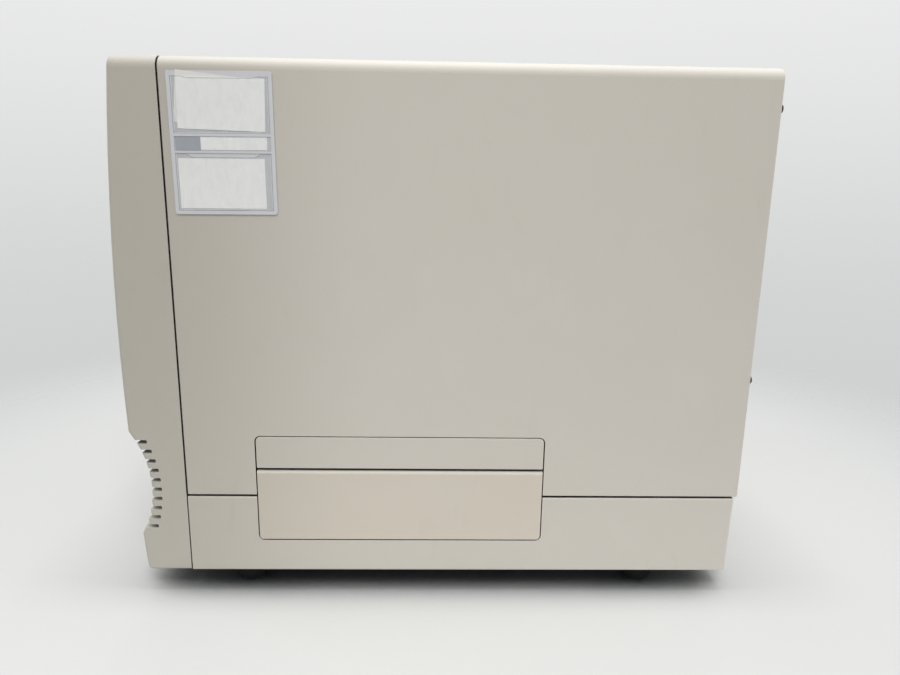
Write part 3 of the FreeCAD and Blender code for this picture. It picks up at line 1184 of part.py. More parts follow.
def make_switch_housing():
    """Frame of the mains switch, open at the back face of its well."""
    y, x, z = PANEL_FACE, SWITCH_X, FITTING_Z
    rim = rounded_plate(x - 13, x + 13, z - 17, z + 17, 2, "xz", y, 2)
    body = box(x - 10.8, x + 10.8, y - 20, y + 0.5, z - 14.8, z + 14.8)
    hollow = box(x - 9.2, x + 9.2, y - 16, y + 5, z - 12.6, z + 12.6)
    pivot = rod(1.5, (x - 10, y - 6, z), (x + 10, y - 6, z))
    return fuse([fuse([rim, body]).cut(hollow), pivot])


def make_rocker():
    """Rocker of the mains switch, bored for its cross pin."""
    y, x, z = PANEL_FACE, SWITCH_X, FITTING_Z
    outline = [(y - 9, z - 4, 2), (y - 2.2, z - 11.2, 1.5), (y + 0.6, z - 0.5, 3),
               (y + 2.4, z + 10.6, 1.5), (y - 9, z + 4, 2)]
    return prism(outline, "yz", x - 8.6, 17.2).cut(rod(1.5 + RUNNING, (x - 12, y - 6, z), (x + 12, y - 6, z)))


def d_shape(x, z, low, high, half, radius):
    """Corners of a data socket's outline, wider above than below."""
    return [(x - low, z - half, radius), (x + low, z - half, radius),
            (x + high, z + half, radius), (x - high, z + half, radius)]


def make_data_ports():
    """Two D-shaped data sockets with jack screws."""
    y, z = PANEL_FACE, FITTING_Z
    ports = []
    for x in PORT_XS:
        plate = rounded_plate(x - 22, x + 22, z - 8, z + 8, 2, "xz", y, 1)
        shell = prism(d_shape(x, z, 12, 14, 5, 2.5), "xz", y - 8, 12.5)
        core = prism(d_shape(x, z, 11, 13, 4.2, 2), "xz", y + 1.5, 6)
        jacks = [rod(2.4, (x + s * 18, y + 0.5, z), (x + s * 18, y + 4, z)) for s in (-1, 1)]
        ports.append(fuse([plate, shell, *jacks]).cut(core))
    return group(ports)


# Pocket on the side

def hang_askew(shape):
    """Turns a shape of the pocket about the pocket's middle, because it was stuck on by hand."""
    middle = V(SIDE_X, POCKET_Y + POCKET_WIDTH / 2, POCKET_Z + POCKET_HEIGHT / 2)
    shape.rotate(middle, X_AXIS, POCKET_TILT)
    return shape


def pocket_window(low, high):
    """Room for one window of the pocket, between two heights above its foot."""
    floor = SIDE_X + POCKET_BACK
    y0, y1 = POCKET_Y + POCKET_SIDE, POCKET_Y + POCKET_WIDTH - POCKET_SIDE
    return box(floor, floor + 3, y0, y1, POCKET_Z + low, POCKET_Z + high)


def make_card_pocket():
    """Stiff backing of the card pocket, with a raised rim and a bar each side of its narrow strip."""
    y1, z1 = POCKET_Y + POCKET_WIDTH, POCKET_Z + POCKET_HEIGHT
    plate = rounded_plate(POCKET_Y, y1, POCKET_Z, z1, 2.5, "yz", SIDE_X, POCKET_RIM)
    windows = [pocket_window(3.5, 58.6), pocket_window(60.3, 74.2), pocket_window(76.8, POCKET_HEIGHT + 1)]
    return hang_askew(plate.cut(Part.makeCompound(windows)))


def card(along, up, length, height, tilt, layer):
    """One card against the pocket's back, its middle measured from the pocket's lower front corner."""
    x = SIDE_X + POCKET_BACK + layer * CARD_THICK
    y, z = POCKET_Y + along, POCKET_Z + up
    shape = box(x, x + CARD_THICK, y - length / 2, y + length / 2, z - height / 2, z + height / 2)
    shape.rotate(V(x, y, z), X_AXIS, tilt)
    return shape


def make_pocket_cards():
    """Blank cards, a blank strip and a tab in the pocket."""
    lower = card(47.6, 29.6, 84, 48, 0, 0)
    upper_back = card(48.2, 106.5, 84, 48, -6.6, 0)
    upper_front = card(50.5, 104.4, 84, 48.8, -1.8, 1)
    strip = card(60.8, 67.7, 64, 12.2, 0, 0)
    tab = card(16.4, 67.2, 24, 12.6, 0, 0)
    return hang_askew(group([lower, upper_back, upper_front, strip, tab]))


MAKERS = {
    "base_pan": make_base_pan,
    "chassis_plate": make_chassis_plate,
    "feet": make_feet,
    "top_cover": make_top_cover,
    "front_bezel": make_front_bezel,
    "status_lenses": make_status_lenses,
    "power_button": make_power_button,
    "air_filter": make_air_filter,
    "rear_panel": make_rear_panel,
    "rear_screws": make_rear_screws,
    "drawer_front": make_drawer_front,
    "drawer_tray": make_drawer_tray,
    "plate_nest": make_plate_nest,
    "drawer_rack": make_drawer_rack,
    "drawer_pinion": make_drawer_pinion,
    "drawer_motor": make_drawer_motor,
    "slide_outer": make_slide_outer,
    "slide_middle": make_slide_middle,
    "slide_inner": make_slide_inner,
    "rail_brackets": make_rail_brackets,
    "access_cover": make_access_cover,
    "sample_block": make_sample_block,
    "peltier_tiles": make_peltier_tiles,
    "heat_sink": make_heat_sink,
    "block_carrier": make_block_carrier,
    "block_screw": make_block_screw,
    "block_fan_frame": lambda: fan_frame(60, 25, BLOCK_FAN_CENTRE, "x"),
    "block_fan_rotor": lambda: fan_rotor(60, 25, BLOCK_FAN_CENTRE, "x"),
    "exhaust_fan_frames": make_exhaust_frames,
    "exhaust_rotor_left": lambda: fan_rotor(FAN_SIZE, FAN_DEPTH, (-FAN_X, EXHAUST_Y, FAN_Z), "y"),
    "exhaust_rotor_right": lambda: fan_rotor(FAN_SIZE, FAN_DEPTH, (FAN_X, EXHAUST_Y, FAN_Z), "y"),
    "fan_guards": make_fan_guards,
    "lid_bridge": make_lid_bridge,
    "guide_posts": make_guide_posts,
    "lid_carriage": make_lid_carriage,
    "lid_platen": make_lid_platen,
    "lid_springs": make_lid_springs,
    "lid_screw": make_lid_screw,
    "lid_motor": make_lid_motor,
    "optics_deck": make_optics_deck,
    "scan_rods": make_scan_rods,
    "rod_blocks": make_rod_blocks,
    "scan_carriage": make_scan_carriage,
    "scan_lenses": make_scan_lenses,
    "scan_screw": make_scan_screw,
    "scan_motor": make_scan_motor,
    "galvo_body": make_galvo,
    "galvo_mirror": make_galvo_mirror,
    "laser_head": make_laser_head,
    "spectrograph": make_spectrograph,
    "camera": make_camera,
    "power_supply": make_power_supply,
    "card_cage": make_card_cage,
    "circuit_boards": make_circuit_boards,
    "power_inlet": make_power_inlet,
    "switch_housing": make_switch_housing,
    "rocker_switch": make_rocker,
    "data_ports": make_data_ports,
    "card_pocket": make_card_pocket,
    "pocket_cards": make_pocket_cards,
}


def main():
    os.makedirs("parts", exist_ok=True)
    for name, maker in MAKERS.items():
        shape = maker()
        if not shape.isValid():
            print("not valid:", name)
        shape.exportStep(os.path.join("parts", name + ".step"))
        print(name, len(shape.Solids), "solids", len(shape.Faces), "faces", round(shape.Volume / 1000, 1), "cm3")


main()
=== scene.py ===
import math

import bpy
from mathutils import Matrix, Vector


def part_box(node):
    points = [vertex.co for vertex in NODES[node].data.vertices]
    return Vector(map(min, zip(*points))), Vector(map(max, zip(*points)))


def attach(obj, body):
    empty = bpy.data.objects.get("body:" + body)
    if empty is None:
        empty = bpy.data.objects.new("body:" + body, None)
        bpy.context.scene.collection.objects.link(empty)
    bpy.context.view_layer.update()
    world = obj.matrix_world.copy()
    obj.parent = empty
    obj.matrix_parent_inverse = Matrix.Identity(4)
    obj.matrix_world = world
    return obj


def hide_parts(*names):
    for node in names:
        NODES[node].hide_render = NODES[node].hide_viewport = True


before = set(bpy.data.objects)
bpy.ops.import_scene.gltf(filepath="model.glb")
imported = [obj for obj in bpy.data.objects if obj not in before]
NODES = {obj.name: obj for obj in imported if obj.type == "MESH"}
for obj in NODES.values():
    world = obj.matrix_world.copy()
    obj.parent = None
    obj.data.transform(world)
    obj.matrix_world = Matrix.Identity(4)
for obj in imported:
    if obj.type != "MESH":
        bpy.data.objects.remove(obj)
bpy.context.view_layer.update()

MM = 0.001


# Colours and finishes

def srgb(red, green, blue):
    """A colour given as 0 to 255 display values, in the linear values that shaders take."""
    values = []
    for value in (red, green, blue):
        part = value / 255
        values.append(part / 12.92 if part <= 0.04045 else ((part + 0.055) / 1.055) ** 2.4)
    return (*values, 1.0)


def darker(colour, gain):
    """A colour with less light in it."""
    return (*[part * gain for part in colour[:3]], 1.0)


def lighter(colour, gain, lift):
    """A colour multiplied and lifted, up to white."""
    return (*[min(1.0, part * gain + lift) for part in colour[:3]], 1.0)


CASING_BEIGE = srgb(199, 194, 186)
BEZEL_BEIGE = srgb(178, 175, 166)
DRAWER_BEIGE = srgb(203, 195, 183)
AGED_BEIGE = srgb(190, 182, 165)
# Painted shade: the casing's colour towards the front
FRONT_SHADE_BEIGE = srgb(168, 163, 152)
# Painted highlight on upward faces and outer edges
HIGHLIGHT_BEIGE = srgb(232, 229, 221)
CHALK = srgb(206, 203, 198)
# Dirt, and painted shade in gaps
GRIME_AND_SHADE = srgb(96, 90, 80)
DUST = srgb(150, 146, 138)
# Darker in metal corners
CORNER_DARK = (0.05, 0.045, 0.04, 1.0)
# Painted shade deep in seams, slots and recesses
DEEP_SHADE = srgb(30, 27, 23)
VINYL_GREY = srgb(201, 202, 204)
CARD_WHITE = srgb(233, 234, 233)
LABEL_GREY = srgb(156, 160, 167)
STEEL = srgb(198, 199, 201)
ALUMINIUM = srgb(205, 206, 208)
DARK_METAL = srgb(84, 86, 90)
BLACK_METAL = srgb(40, 40, 43)
BLACK_PLASTIC = srgb(30, 30, 31)
FLOOR_WHITE = srgb(206, 207, 206)
SHADOW_GREY = srgb(36, 41, 44)


# Shaders

def smooth_ramp(tree, value, low, high, start=0.0, end=1.0):
    """Maps a value from low..high to start..end, smoothly and clamped, in a material or the world."""
    made = tree.nodes.new("ShaderNodeMapRange")
    made.interpolation_type = "SMOOTHSTEP"
    tree.links.new(value, made.inputs["Value"])
    for socket, number in (("From Min", low), ("From Max", high), ("To Min", start), ("To Max", end)):
        made.inputs[socket].default_value = number
    return made.outputs["Result"]


class Finish:
    """A material under construction. Textures are read in the machine's own frame, in metres."""

    def __init__(self, name, colour, roughness, metallic=0.0, specular=0.5):
        self.material = bpy.data.materials.new(name)
        self.material.use_nodes = True
        self.material.diffuse_color = colour
        self.tree = self.material.node_tree
        self.shader = self.tree.nodes["Principled BSDF"]
        self.shader.inputs["Metallic"].default_value = metallic
        self.shader.inputs["Specular IOR Level"].default_value = specular
        self.shader.inputs["Base Color"].default_value = colour
        self.shader.inputs["Roughness"].default_value = roughness
        self.colour = colour
        self.roughness = roughness
        self.normal = None
        coordinates = self.node("ShaderNodeTexCoord")
        self.place = coordinates.outputs["Object"]

    def node(self, kind, **settings):
        """A new node with its settings."""
        made = self.tree.nodes.new(kind)
        for key, value in settings.items():
            setattr(made, key, value)
        return made

    def link(self, source, target):
        """Connects an output, or sets a plain value."""
        if isinstance(source, bpy.types.NodeSocket):
            self.tree.links.new(source, target)
        else:
            target.default_value = source

    def math(self, operation, first, second=0.0, clamp=False):
        """A sum or other operation on two values."""
        made = self.node("ShaderNodeMath", operation=operation, use_clamp=clamp)
        self.link(first, made.inputs[0])
        self.link(second, made.inputs[1])
        return made.outputs[0]

    def both(self, first, second):
        """1 where two masks are both 1."""
        return self.math("MULTIPLY", first, second)

    def ramp(self, value, low, high, start=0.0, end=1.0):
        """Maps a value from low..high to start..end, smoothly and clamped."""
        return smooth_ramp(self.tree, value, low, high, start, end)

    def axis(self, index):
        """One coordinate of the place, 0 to 2 for X to Z."""
        made = self.node("ShaderNodeSeparateXYZ")
        self.link(self.place, made.inputs[0])
        return made.outputs[index]

    def scaled(self, texture, size, stretch, offset=0.0):
        """Feeds a texture the place, in lumps of size metres, drawn out along an axis by stretch."""
        mapping = self.node("ShaderNodeMapping")
        self.link(self.place, mapping.inputs["Vector"])
        mapping.inputs["Location"].default_value = (offset, offset * 0.7, offset * 1.3)
        mapping.inputs["Scale"].default_value = [1 / (size * s) for s in stretch]
        self.link(mapping.outputs[0], texture.inputs["Vector"])
        texture.inputs["Scale"].default_value = 1.0

    def noise(self, size, detail=2.0, stretch=(1, 1, 1), warp=0.0, offset=0.0):
        """Noise whose lumps are about size metres across."""
        made = self.node("ShaderNodeTexNoise")
        self.scaled(made, size, stretch, offset)
        made.inputs["Detail"].default_value = detail
        made.inputs["Distortion"].default_value = warp
        return made.outputs["Fac"]

    def cells(self, size, feature="F1", stretch=(1, 1, 1)):
        """Distance within cells about size metres across."""
        made = self.node("ShaderNodeTexVoronoi", feature=feature)
        self.scaled(made, size, stretch)
        return made.outputs["Distance"]

    def wave(self, pitch, axis):
        """Sine ridges across an axis, pitch metres apart."""
        turned = self.math("MULTIPLY", self.axis(axis), 2 * math.pi / pitch)
        return self.math("MULTIPLY_ADD", self.math("SINE", turned), 0.5)

    def tint(self, mask, colour, share=1.0):
        """Mixes a share of a colour in where the mask is 1."""
        made = self.node("ShaderNodeMix", data_type="RGBA")
        self.link(self.both(mask, share), made.inputs["Factor"])
        self.link(self.colour, made.inputs["A"])
        self.link(colour, made.inputs["B"])
        self.colour = made.outputs["Result"]
        self.link(self.colour, self.shader.inputs["Base Color"])

    def rub(self, mask, amount):
        """Adds to the roughness where the mask is 1."""
        self.roughness = self.math("ADD", self.both(mask, amount), self.roughness, clamp=True)
        self.link(self.roughness, self.shader.inputs["Roughness"])

    def bump(self, height, depth, strength=1.0):
        """Raises the surface by depth metres where the height is 1."""
        made = self.node("ShaderNodeBump")
        made.inputs["Strength"].default_value = strength
        made.inputs["Distance"].default_value = depth
        self.link(height, made.inputs["Height"])
        if self.normal is not None:
            self.link(self.normal, made.inputs["Normal"])
        self.normal = made.outputs["Normal"]
        self.link(self.normal, self.shader.inputs["Normal"])

    def crevice(self, reach, low=0.25, high=0.75):
        """1 in corners and gaps narrower than reach, 0 on open faces."""
        made = self.node("ShaderNodeAmbientOcclusion", samples=6)
        made.inputs["Distance"].default_value = reach
        return self.ramp(made.outputs["AO"], low, high, 1.0, 0.0)

    def edge(self, radius):
        """1 on outer edges, within a radius of them."""
        bevel = self.node("ShaderNodeBevel", samples=4)
        bevel.inputs["Radius"].default_value = radius
        geometry = self.node("ShaderNodeNewGeometry")
        dot = self.node("ShaderNodeVectorMath", operation="DOT_PRODUCT")
        self.link(bevel.outputs[0], dot.inputs[0])
        self.link(geometry.outputs["Normal"], dot.inputs[1])
        return self.ramp(dot.outputs["Value"], 0.80, 0.98, 1.0, 0.0)

    def facing(self, index, low, high):
        """1 where the surface faces along an axis, from one cosine to another."""
        geometry = self.node("ShaderNodeNewGeometry")
        split = self.node("ShaderNodeSeparateXYZ")
        self.link(geometry.outputs["Normal"], split.inputs[0])
        return self.ramp(split.outputs[index], low, high)


# Where the casing is darkened towards the front by painted shade, and where it turns yellower towards the
# top, in metres along the machine and up it
FRONT_SHADE_START, FRONT_SHADE_END = -0.30, -0.06
YELLOW_LOW, YELLOW_TOP = 0.30, 0.62


def moulded(name, colour, roughness=0.5, grain=0.9 * MM, top_tint=0.35, front=0.6, top_highlight=0.55, gap=6 * MM):
    """Old beige casing: finely grained, yellower and a little darker to the top, with painted shade towards
    the front and in gaps, where dirt lies too, a painted highlight on upward faces, and edges lighter partly
    from rubbing and partly as a painted highlight.
    """
    finish = Finish(name, colour, roughness, specular=0.4)
    finish.tint(finish.noise(0.16, 3, warp=0.4), AGED_BEIGE, 0.30)
    finish.tint(finish.ramp(finish.noise(0.05, 4, offset=3.1), 0.52, 0.80), CHALK, 0.10)
    # Yellower and a little darker towards the top
    finish.tint(finish.ramp(finish.axis(2), YELLOW_LOW, YELLOW_TOP), AGED_BEIGE, top_tint * 0.5)
    # Painted shade: darker and yellower towards the front
    finish.tint(finish.ramp(finish.axis(1), FRONT_SHADE_START, FRONT_SHADE_END, 1.0, 0.0), FRONT_SHADE_BEIGE, front)
    smudge = finish.ramp(finish.noise(0.035, 5, stretch=(1, 1, 2.2), warp=1.2, offset=7.7), 0.58, 0.82)
    finish.tint(smudge, GRIME_AND_SHADE, 0.05)
    speck = finish.ramp(finish.cells(6 * MM), 0.035, 0.065, 1.0, 0.0)
    patch = finish.ramp(finish.noise(0.06, 2, offset=1.9), 0.55, 0.7)
    finish.tint(finish.both(speck, patch), GRIME_AND_SHADE, 0.35)
    # Painted highlight: upward faces lighter, as if lit from above
    finish.tint(finish.facing(2, 0.15, 0.85), HIGHLIGHT_BEIGE, top_highlight)
    # Outer edges lighter, partly rubbed wear and partly a painted highlight
    finish.tint(finish.edge(1.6 * MM), HIGHLIGHT_BEIGE, 0.18)
    # Dirt and painted shade in gaps and corners
    finish.tint(finish.crevice(gap, 0.30, 0.80), GRIME_AND_SHADE, 0.6)
    # Painted shade: near black deep in seams, slots and recesses
    finish.tint(finish.crevice(9 * MM, 0.15, 0.55), DEEP_SHADE)
    finish.rub(finish.noise(0.02, 4, offset=5.0), 0.14)
    finish.rub(smudge, -0.10)
    finish.bump(finish.noise(grain, 2), 0.035 * MM)
    finish.bump(finish.noise(0.09, 2, offset=2.0), 0.25 * MM, 0.5)
    return finish.material


def brushed(name, colour, roughness=0.3, along=1, depth=0.012 * MM):
    """Rolled or ground metal with marks along one axis."""
    finish = Finish(name, colour, roughness, metallic=1.0)
    stretch = [1.0, 1.0, 1.0]
    stretch[along] = 40.0
    marks = finish.noise(0.5 * MM, 3, stretch=stretch)
    finish.tint(finish.ramp(marks, 0.35, 0.75), darker(colour, 0.72), 0.22)
    finish.tint(finish.ramp(finish.noise(0.03, 4), 0.45, 0.8), darker(colour, 0.8), 0.18)
    # Darker in corners and gaps within 3 mm
    finish.tint(finish.crevice(3 * MM), CORNER_DARK, 0.5)
    finish.rub(marks, 0.16)
    finish.rub(finish.noise(0.015, 3, offset=4.0), 0.12)
    finish.bump(marks, depth)
    return finish.material


def cast(name, colour, roughness=0.5, metallic=0.6):
    """Anodised, blasted or painted metal: even, with a fine grain and lighter edges."""
    finish = Finish(name, colour, roughness, metallic=metallic)
    finish.tint(finish.noise(0.03, 4, warp=0.5), darker(colour, 0.78), 0.35)
    finish.tint(finish.edge(0.8 * MM), lighter(colour, 1.5, 0.10), 0.5)
    finish.tint(finish.crevice(4 * MM), darker(colour, 0.3), 0.5)
    finish.rub(finish.noise(0.01, 3, offset=2.5), 0.18)
    finish.bump(finish.noise(0.7 * MM, 2), 0.02 * MM)
    return finish.material


def plastic(name, colour, roughness=0.45):
    """Plain moulded plastic with dust in its corners."""
    finish = Finish(name, colour, roughness, specular=0.45)
    finish.tint(finish.noise(0.02, 3), darker(colour, 0.8), 0.25)
    finish.tint(finish.ramp(finish.noise(6 * MM, 4, offset=6.0), 0.55, 0.8), DUST, 0.12)
    finish.tint(finish.crevice(3 * MM), srgb(120, 114, 104), 0.25)
    finish.tint(finish.edge(0.7 * MM), lighter(colour, 1.4, 0.05), 0.15)
    finish.rub(finish.noise(8 * MM, 3, offset=3.0), 0.15)
    finish.bump(finish.noise(0.5 * MM, 2), 0.012 * MM)
    return finish.material


def threaded(name, colour, pitch, axis):
    """Ground steel with the ridges of a thread."""
    finish = Finish(name, colour, 0.28, metallic=1.0)
    ridges = finish.wave(pitch, axis)
    # Painted shade: darker bands along the thread
    finish.tint(ridges, darker(colour, 0.35), 0.45)
    finish.tint(finish.noise(4 * MM, 3), srgb(120, 100, 70), 0.2)
    finish.rub(finish.noise(3 * MM, 3), 0.15)
    finish.bump(ridges, 0.3 * MM)
    return finish.material


def rubber(name):
    """Black rubber, dusty where it meets the bench."""
    finish = Finish(name, srgb(20, 20, 21), 0.75, specular=0.25)
    finish.tint(finish.ramp(finish.noise(8 * MM, 5, warp=0.8), 0.5, 0.8), srgb(50, 48, 45), 0.3)
    finish.tint(finish.ramp(finish.axis(2), 0.0, 4 * MM, 1.0, 0.0), srgb(66, 64, 60), 0.2)
    finish.rub(finish.noise(5 * MM, 3), 0.15)
    finish.bump(finish.noise(0.8 * MM, 3), 0.05 * MM)
    return finish.material


def foam(name):
    """Open-cell filter foam in a dark frame."""
    finish = Finish(name, srgb(40, 40, 41), 0.95, specular=0.2)
    pores = finish.ramp(finish.cells(1.6 * MM), 0.15, 0.55)
    finish.tint(pores, srgb(14, 14, 14), 0.7)
    finish.tint(finish.ramp(finish.noise(0.02, 4), 0.45, 0.75), srgb(108, 103, 96), 0.5)
    finish.rub(pores, -0.1)
    finish.bump(pores, -0.8 * MM)
    return finish.material


# Chips on the circuit boards: their length, and (first place, pitch) across and up
CHIP_LENGTH = 24 * MM
CHIPS_ACROSS = (-0.232, 0.034)
CHIPS_UP = (0.060, 0.054)
CONNECTOR_X = (-0.1225, -0.1215)


def circuit(name):
    """Green boards with copper tracks under lacquer, black chips and a pale connector."""
    finish = Finish(name, srgb(24, 92, 48), 0.35)
    borders = finish.cells(3.2 * MM, "DISTANCE_TO_EDGE", stretch=(1, 1, 2.4))
    tracks = finish.ramp(borders, 0.03, 0.08, 1.0, 0.0)
    finish.tint(tracks, srgb(70, 138, 74), 0.6)
    pads = finish.ramp(finish.cells(2.5 * MM), 0.10, 0.16, 1.0, 0.0)
    finish.tint(pads, srgb(190, 180, 150))
    front = finish.facing(1, 0.4, 0.6)
    across = chip_rows(finish, 0, *CHIPS_ACROSS)
    up = chip_rows(finish, 2, *CHIPS_UP)
    finish.tint(finish.both(across, up), srgb(24, 24, 26), front)
    finish.tint(finish.ramp(finish.axis(0), *CONNECTOR_X), srgb(206, 200, 184))
    finish.rub(tracks, 0.1)
    finish.bump(tracks, 0.05 * MM)
    return finish.material


def chip_rows(finish, index, first, pitch):
    """1 where a coordinate is on one of the chips."""
    steps = finish.math("DIVIDE", finish.math("SUBTRACT", finish.axis(index), first), pitch)
    part = finish.math("FRACT", steps)
    return finish.math("LESS_THAN", part, CHIP_LENGTH / pitch)


GLASS_INDEX = 1.45


def clear(name, colour, roughness, transmission=1.0):
    """Glass or clear film with faint streaks."""
    finish = Finish(name, colour, roughness)
    finish.shader.inputs["Transmission Weight"].default_value = transmission
    finish.shader.inputs["IOR"].default_value = GLASS_INDEX
    finish.tint(finish.noise(6 * MM, 3), darker(colour, 0.86), 0.12)
    finish.rub(finish.ramp(finish.noise(5 * MM, 4, warp=0.6, offset=3.0), 0.5, 0.8), 0.18)
    finish.bump(finish.noise(9 * MM, 2), 0.05 * MM)
    return finish.material


def film(name, colour, least, most):
    """Clear soft film, between two opacities, with streaks and a soft sheen."""
    finish = Finish(name, colour, 0.20, specular=0.5)
    streaks = finish.ramp(finish.noise(9 * MM, 4, stretch=(1, 1, 2.5), warp=0.8), 0.40, 0.80)
    finish.tint(streaks, srgb(236, 238, 240), 0.3)
    finish.rub(finish.noise(3 * MM, 3), 0.15)
    finish.bump(finish.noise(14 * MM, 2), 0.12 * MM)
    opacity = finish.math("ADD", finish.math("MULTIPLY", streaks, most - least), least)
    finish.link(opacity, finish.shader.inputs["Alpha"])
    return finish.material


def vinyl(name, colour):
    """Soft grey-blue vinyl sheet with a fine leather grain and a soft sheen."""
    finish = Finish(name, colour, 0.38, specular=0.5)
    finish.tint(finish.noise(0.03, 3, warp=0.6), srgb(176, 180, 187), 0.35)
    # Painted highlight along the sheet's outer edges
    finish.tint(finish.edge(0.8 * MM), srgb(218, 219, 221), 0.45)
    # Painted shade in the pocket's recesses
    finish.tint(finish.crevice(1.2 * MM), srgb(110, 112, 115), 0.3)
    finish.rub(finish.noise(4 * MM, 3), 0.2)
    finish.bump(finish.cells(0.8 * MM), 0.03 * MM)
    finish.bump(finish.noise(0.018, 2), 0.5 * MM, 0.6)
    return finish.material


def paper(name, colour, fade=0.25):
    """Card stock: fine fibres, faint yellowing and handling marks."""
    finish = Finish(name, colour, 0.7, specular=0.25)
    finish.tint(finish.noise(0.03, 3), srgb(216, 213, 200), fade)
    marks = finish.ramp(finish.noise(3 * MM, 5, offset=9.0), 0.60, 0.85)
    finish.tint(marks, srgb(170, 168, 160), 0.12)
    finish.rub(finish.noise(2 * MM, 3), 0.12)
    finish.bump(finish.noise(0.25 * MM, 3, stretch=(1, 3, 1)), 0.01 * MM)
    return finish.material


# The finish of each CAD node
FINISHES = {
    "top_cover": lambda n: moulded(n, CASING_BEIGE),
    "base_pan": lambda n: moulded(n, CASING_BEIGE, top_tint=0.0),
    "rear_panel": lambda n: moulded(n, CASING_BEIGE),
    "front_bezel": lambda n: moulded(n, BEZEL_BEIGE, roughness=0.56, grain=0.7 * MM, front=0.2, top_highlight=0.35,
                                     gap=12 * MM),
    "access_cover": lambda n: moulded(n, CASING_BEIGE, top_tint=0.0),
    "drawer_front": lambda n: moulded(n, DRAWER_BEIGE, roughness=0.46, top_tint=0.0),
    "feet": rubber,
    "air_filter": foam,
    "status_lenses": lambda n: clear(n, srgb(128, 158, 132), 0.30, transmission=0.3),
    "power_button": lambda n: plastic(n, srgb(150, 151, 150)),
    "chassis_plate": lambda n: brushed(n, ALUMINIUM, 0.42, along=1),
    "rear_screws": lambda n: cast(n, srgb(48, 46, 44), 0.42, metallic=0.8),
    "drawer_tray": lambda n: brushed(n, STEEL, 0.36, along=1),
    "plate_nest": lambda n: cast(n, DARK_METAL, 0.45, metallic=0.7),
    "drawer_rack": lambda n: plastic(n, srgb(226, 224, 214), 0.4),
    "drawer_pinion": lambda n: brushed(n, srgb(214, 178, 104), 0.3, along=1),
    "drawer_motor": lambda n: cast(n, srgb(74, 76, 80), 0.4),
    "slide_outer": lambda n: brushed(n, STEEL, 0.28, along=0),
    "slide_middle": lambda n: brushed(n, STEEL, 0.26, along=0),
    "slide_inner": lambda n: brushed(n, STEEL, 0.24, along=0),
    "rail_brackets": lambda n: brushed(n, ALUMINIUM, 0.4, along=0),
    "sample_block": lambda n: brushed(n, srgb(214, 215, 216), 0.3, along=1),
    "peltier_tiles": lambda n: plastic(n, srgb(236, 236, 232), 0.5),
    "heat_sink": lambda n: brushed(n, srgb(176, 178, 181), 0.42, along=0),
    "block_carrier": lambda n: brushed(n, ALUMINIUM, 0.36, along=1),
    "block_screw": lambda n: threaded(n, STEEL, 2 * MM, 2),
    "block_fan_frame": lambda n: plastic(n, BLACK_PLASTIC),
    "block_fan_rotor": lambda n: plastic(n, srgb(38, 38, 40), 0.38),
    "exhaust_fan_frames": lambda n: cast(n, srgb(44, 44, 46), 0.55, metallic=0.2),
    "exhaust_rotor_left": lambda n: plastic(n, srgb(36, 36, 38), 0.38),
    "exhaust_rotor_right": lambda n: plastic(n, srgb(36, 36, 38), 0.38),
    "fan_guards": lambda n: brushed(n, srgb(214, 214, 216), 0.2, along=1, depth=0.004 * MM),
    "lid_bridge": lambda n: brushed(n, ALUMINIUM, 0.36, along=1),
    "guide_posts": lambda n: brushed(n, STEEL, 0.16, along=2, depth=0.004 * MM),
    "lid_carriage": lambda n: brushed(n, ALUMINIUM, 0.34, along=1),
    "lid_platen": lambda n: cast(n, srgb(98, 98, 100), 0.42, metallic=0.8),
    "lid_springs": lambda n: brushed(n, srgb(150, 150, 154), 0.3, along=2),
    "lid_screw": lambda n: threaded(n, STEEL, 4 * MM, 2),
    "lid_motor": lambda n: cast(n, BLACK_METAL, 0.45),
    "optics_deck": lambda n: cast(n, BLACK_METAL, 0.6, metallic=0.4),
    "scan_rods": lambda n: brushed(n, STEEL, 0.16, along=0, depth=0.004 * MM),
    "rod_blocks": lambda n: cast(n, DARK_METAL, 0.5),
    "scan_carriage": lambda n: cast(n, DARK_METAL, 0.5),
    "scan_lenses": lambda n: clear(n, srgb(224, 232, 238), 0.05),
    "scan_screw": lambda n: threaded(n, STEEL, 5 * MM, 0),
    "scan_motor": lambda n: cast(n, BLACK_METAL, 0.45),
    "galvo_body": lambda n: brushed(n, srgb(150, 152, 156), 0.36, along=1),
    "galvo_mirror": lambda n: brushed(n, srgb(236, 238, 240), 0.06, along=1, depth=0.001 * MM),
    "laser_head": lambda n: cast(n, srgb(86, 88, 92), 0.5),
    "spectrograph": lambda n: cast(n, BLACK_METAL, 0.6, metallic=0.3),
    "camera": lambda n: cast(n, srgb(50, 51, 55), 0.5, metallic=0.4),
    "power_supply": lambda n: brushed(n, STEEL, 0.4, along=1),
    "card_cage": lambda n: brushed(n, STEEL, 0.4, along=2),
    "circuit_boards": circuit,
    "power_inlet": lambda n: plastic(n, BLACK_PLASTIC),
    "switch_housing": lambda n: plastic(n, BLACK_PLASTIC),
    "rocker_switch": lambda n: plastic(n, srgb(34, 34, 36), 0.25),
    "data_ports": lambda n: brushed(n, srgb(188, 188, 186), 0.32, along=0),
    "card_pocket": lambda n: vinyl(n, VINYL_GREY),
    "pocket_cards": lambda n: paper(n, CARD_WHITE),
}


def dress_nodes():
    """Gives every CAD node its own finish."""
    for name, node in NODES.items():
        node.data.materials.clear()
        node.data.materials.append(FINISHES[name](name + "_finish"))


# Pieces in mesh code

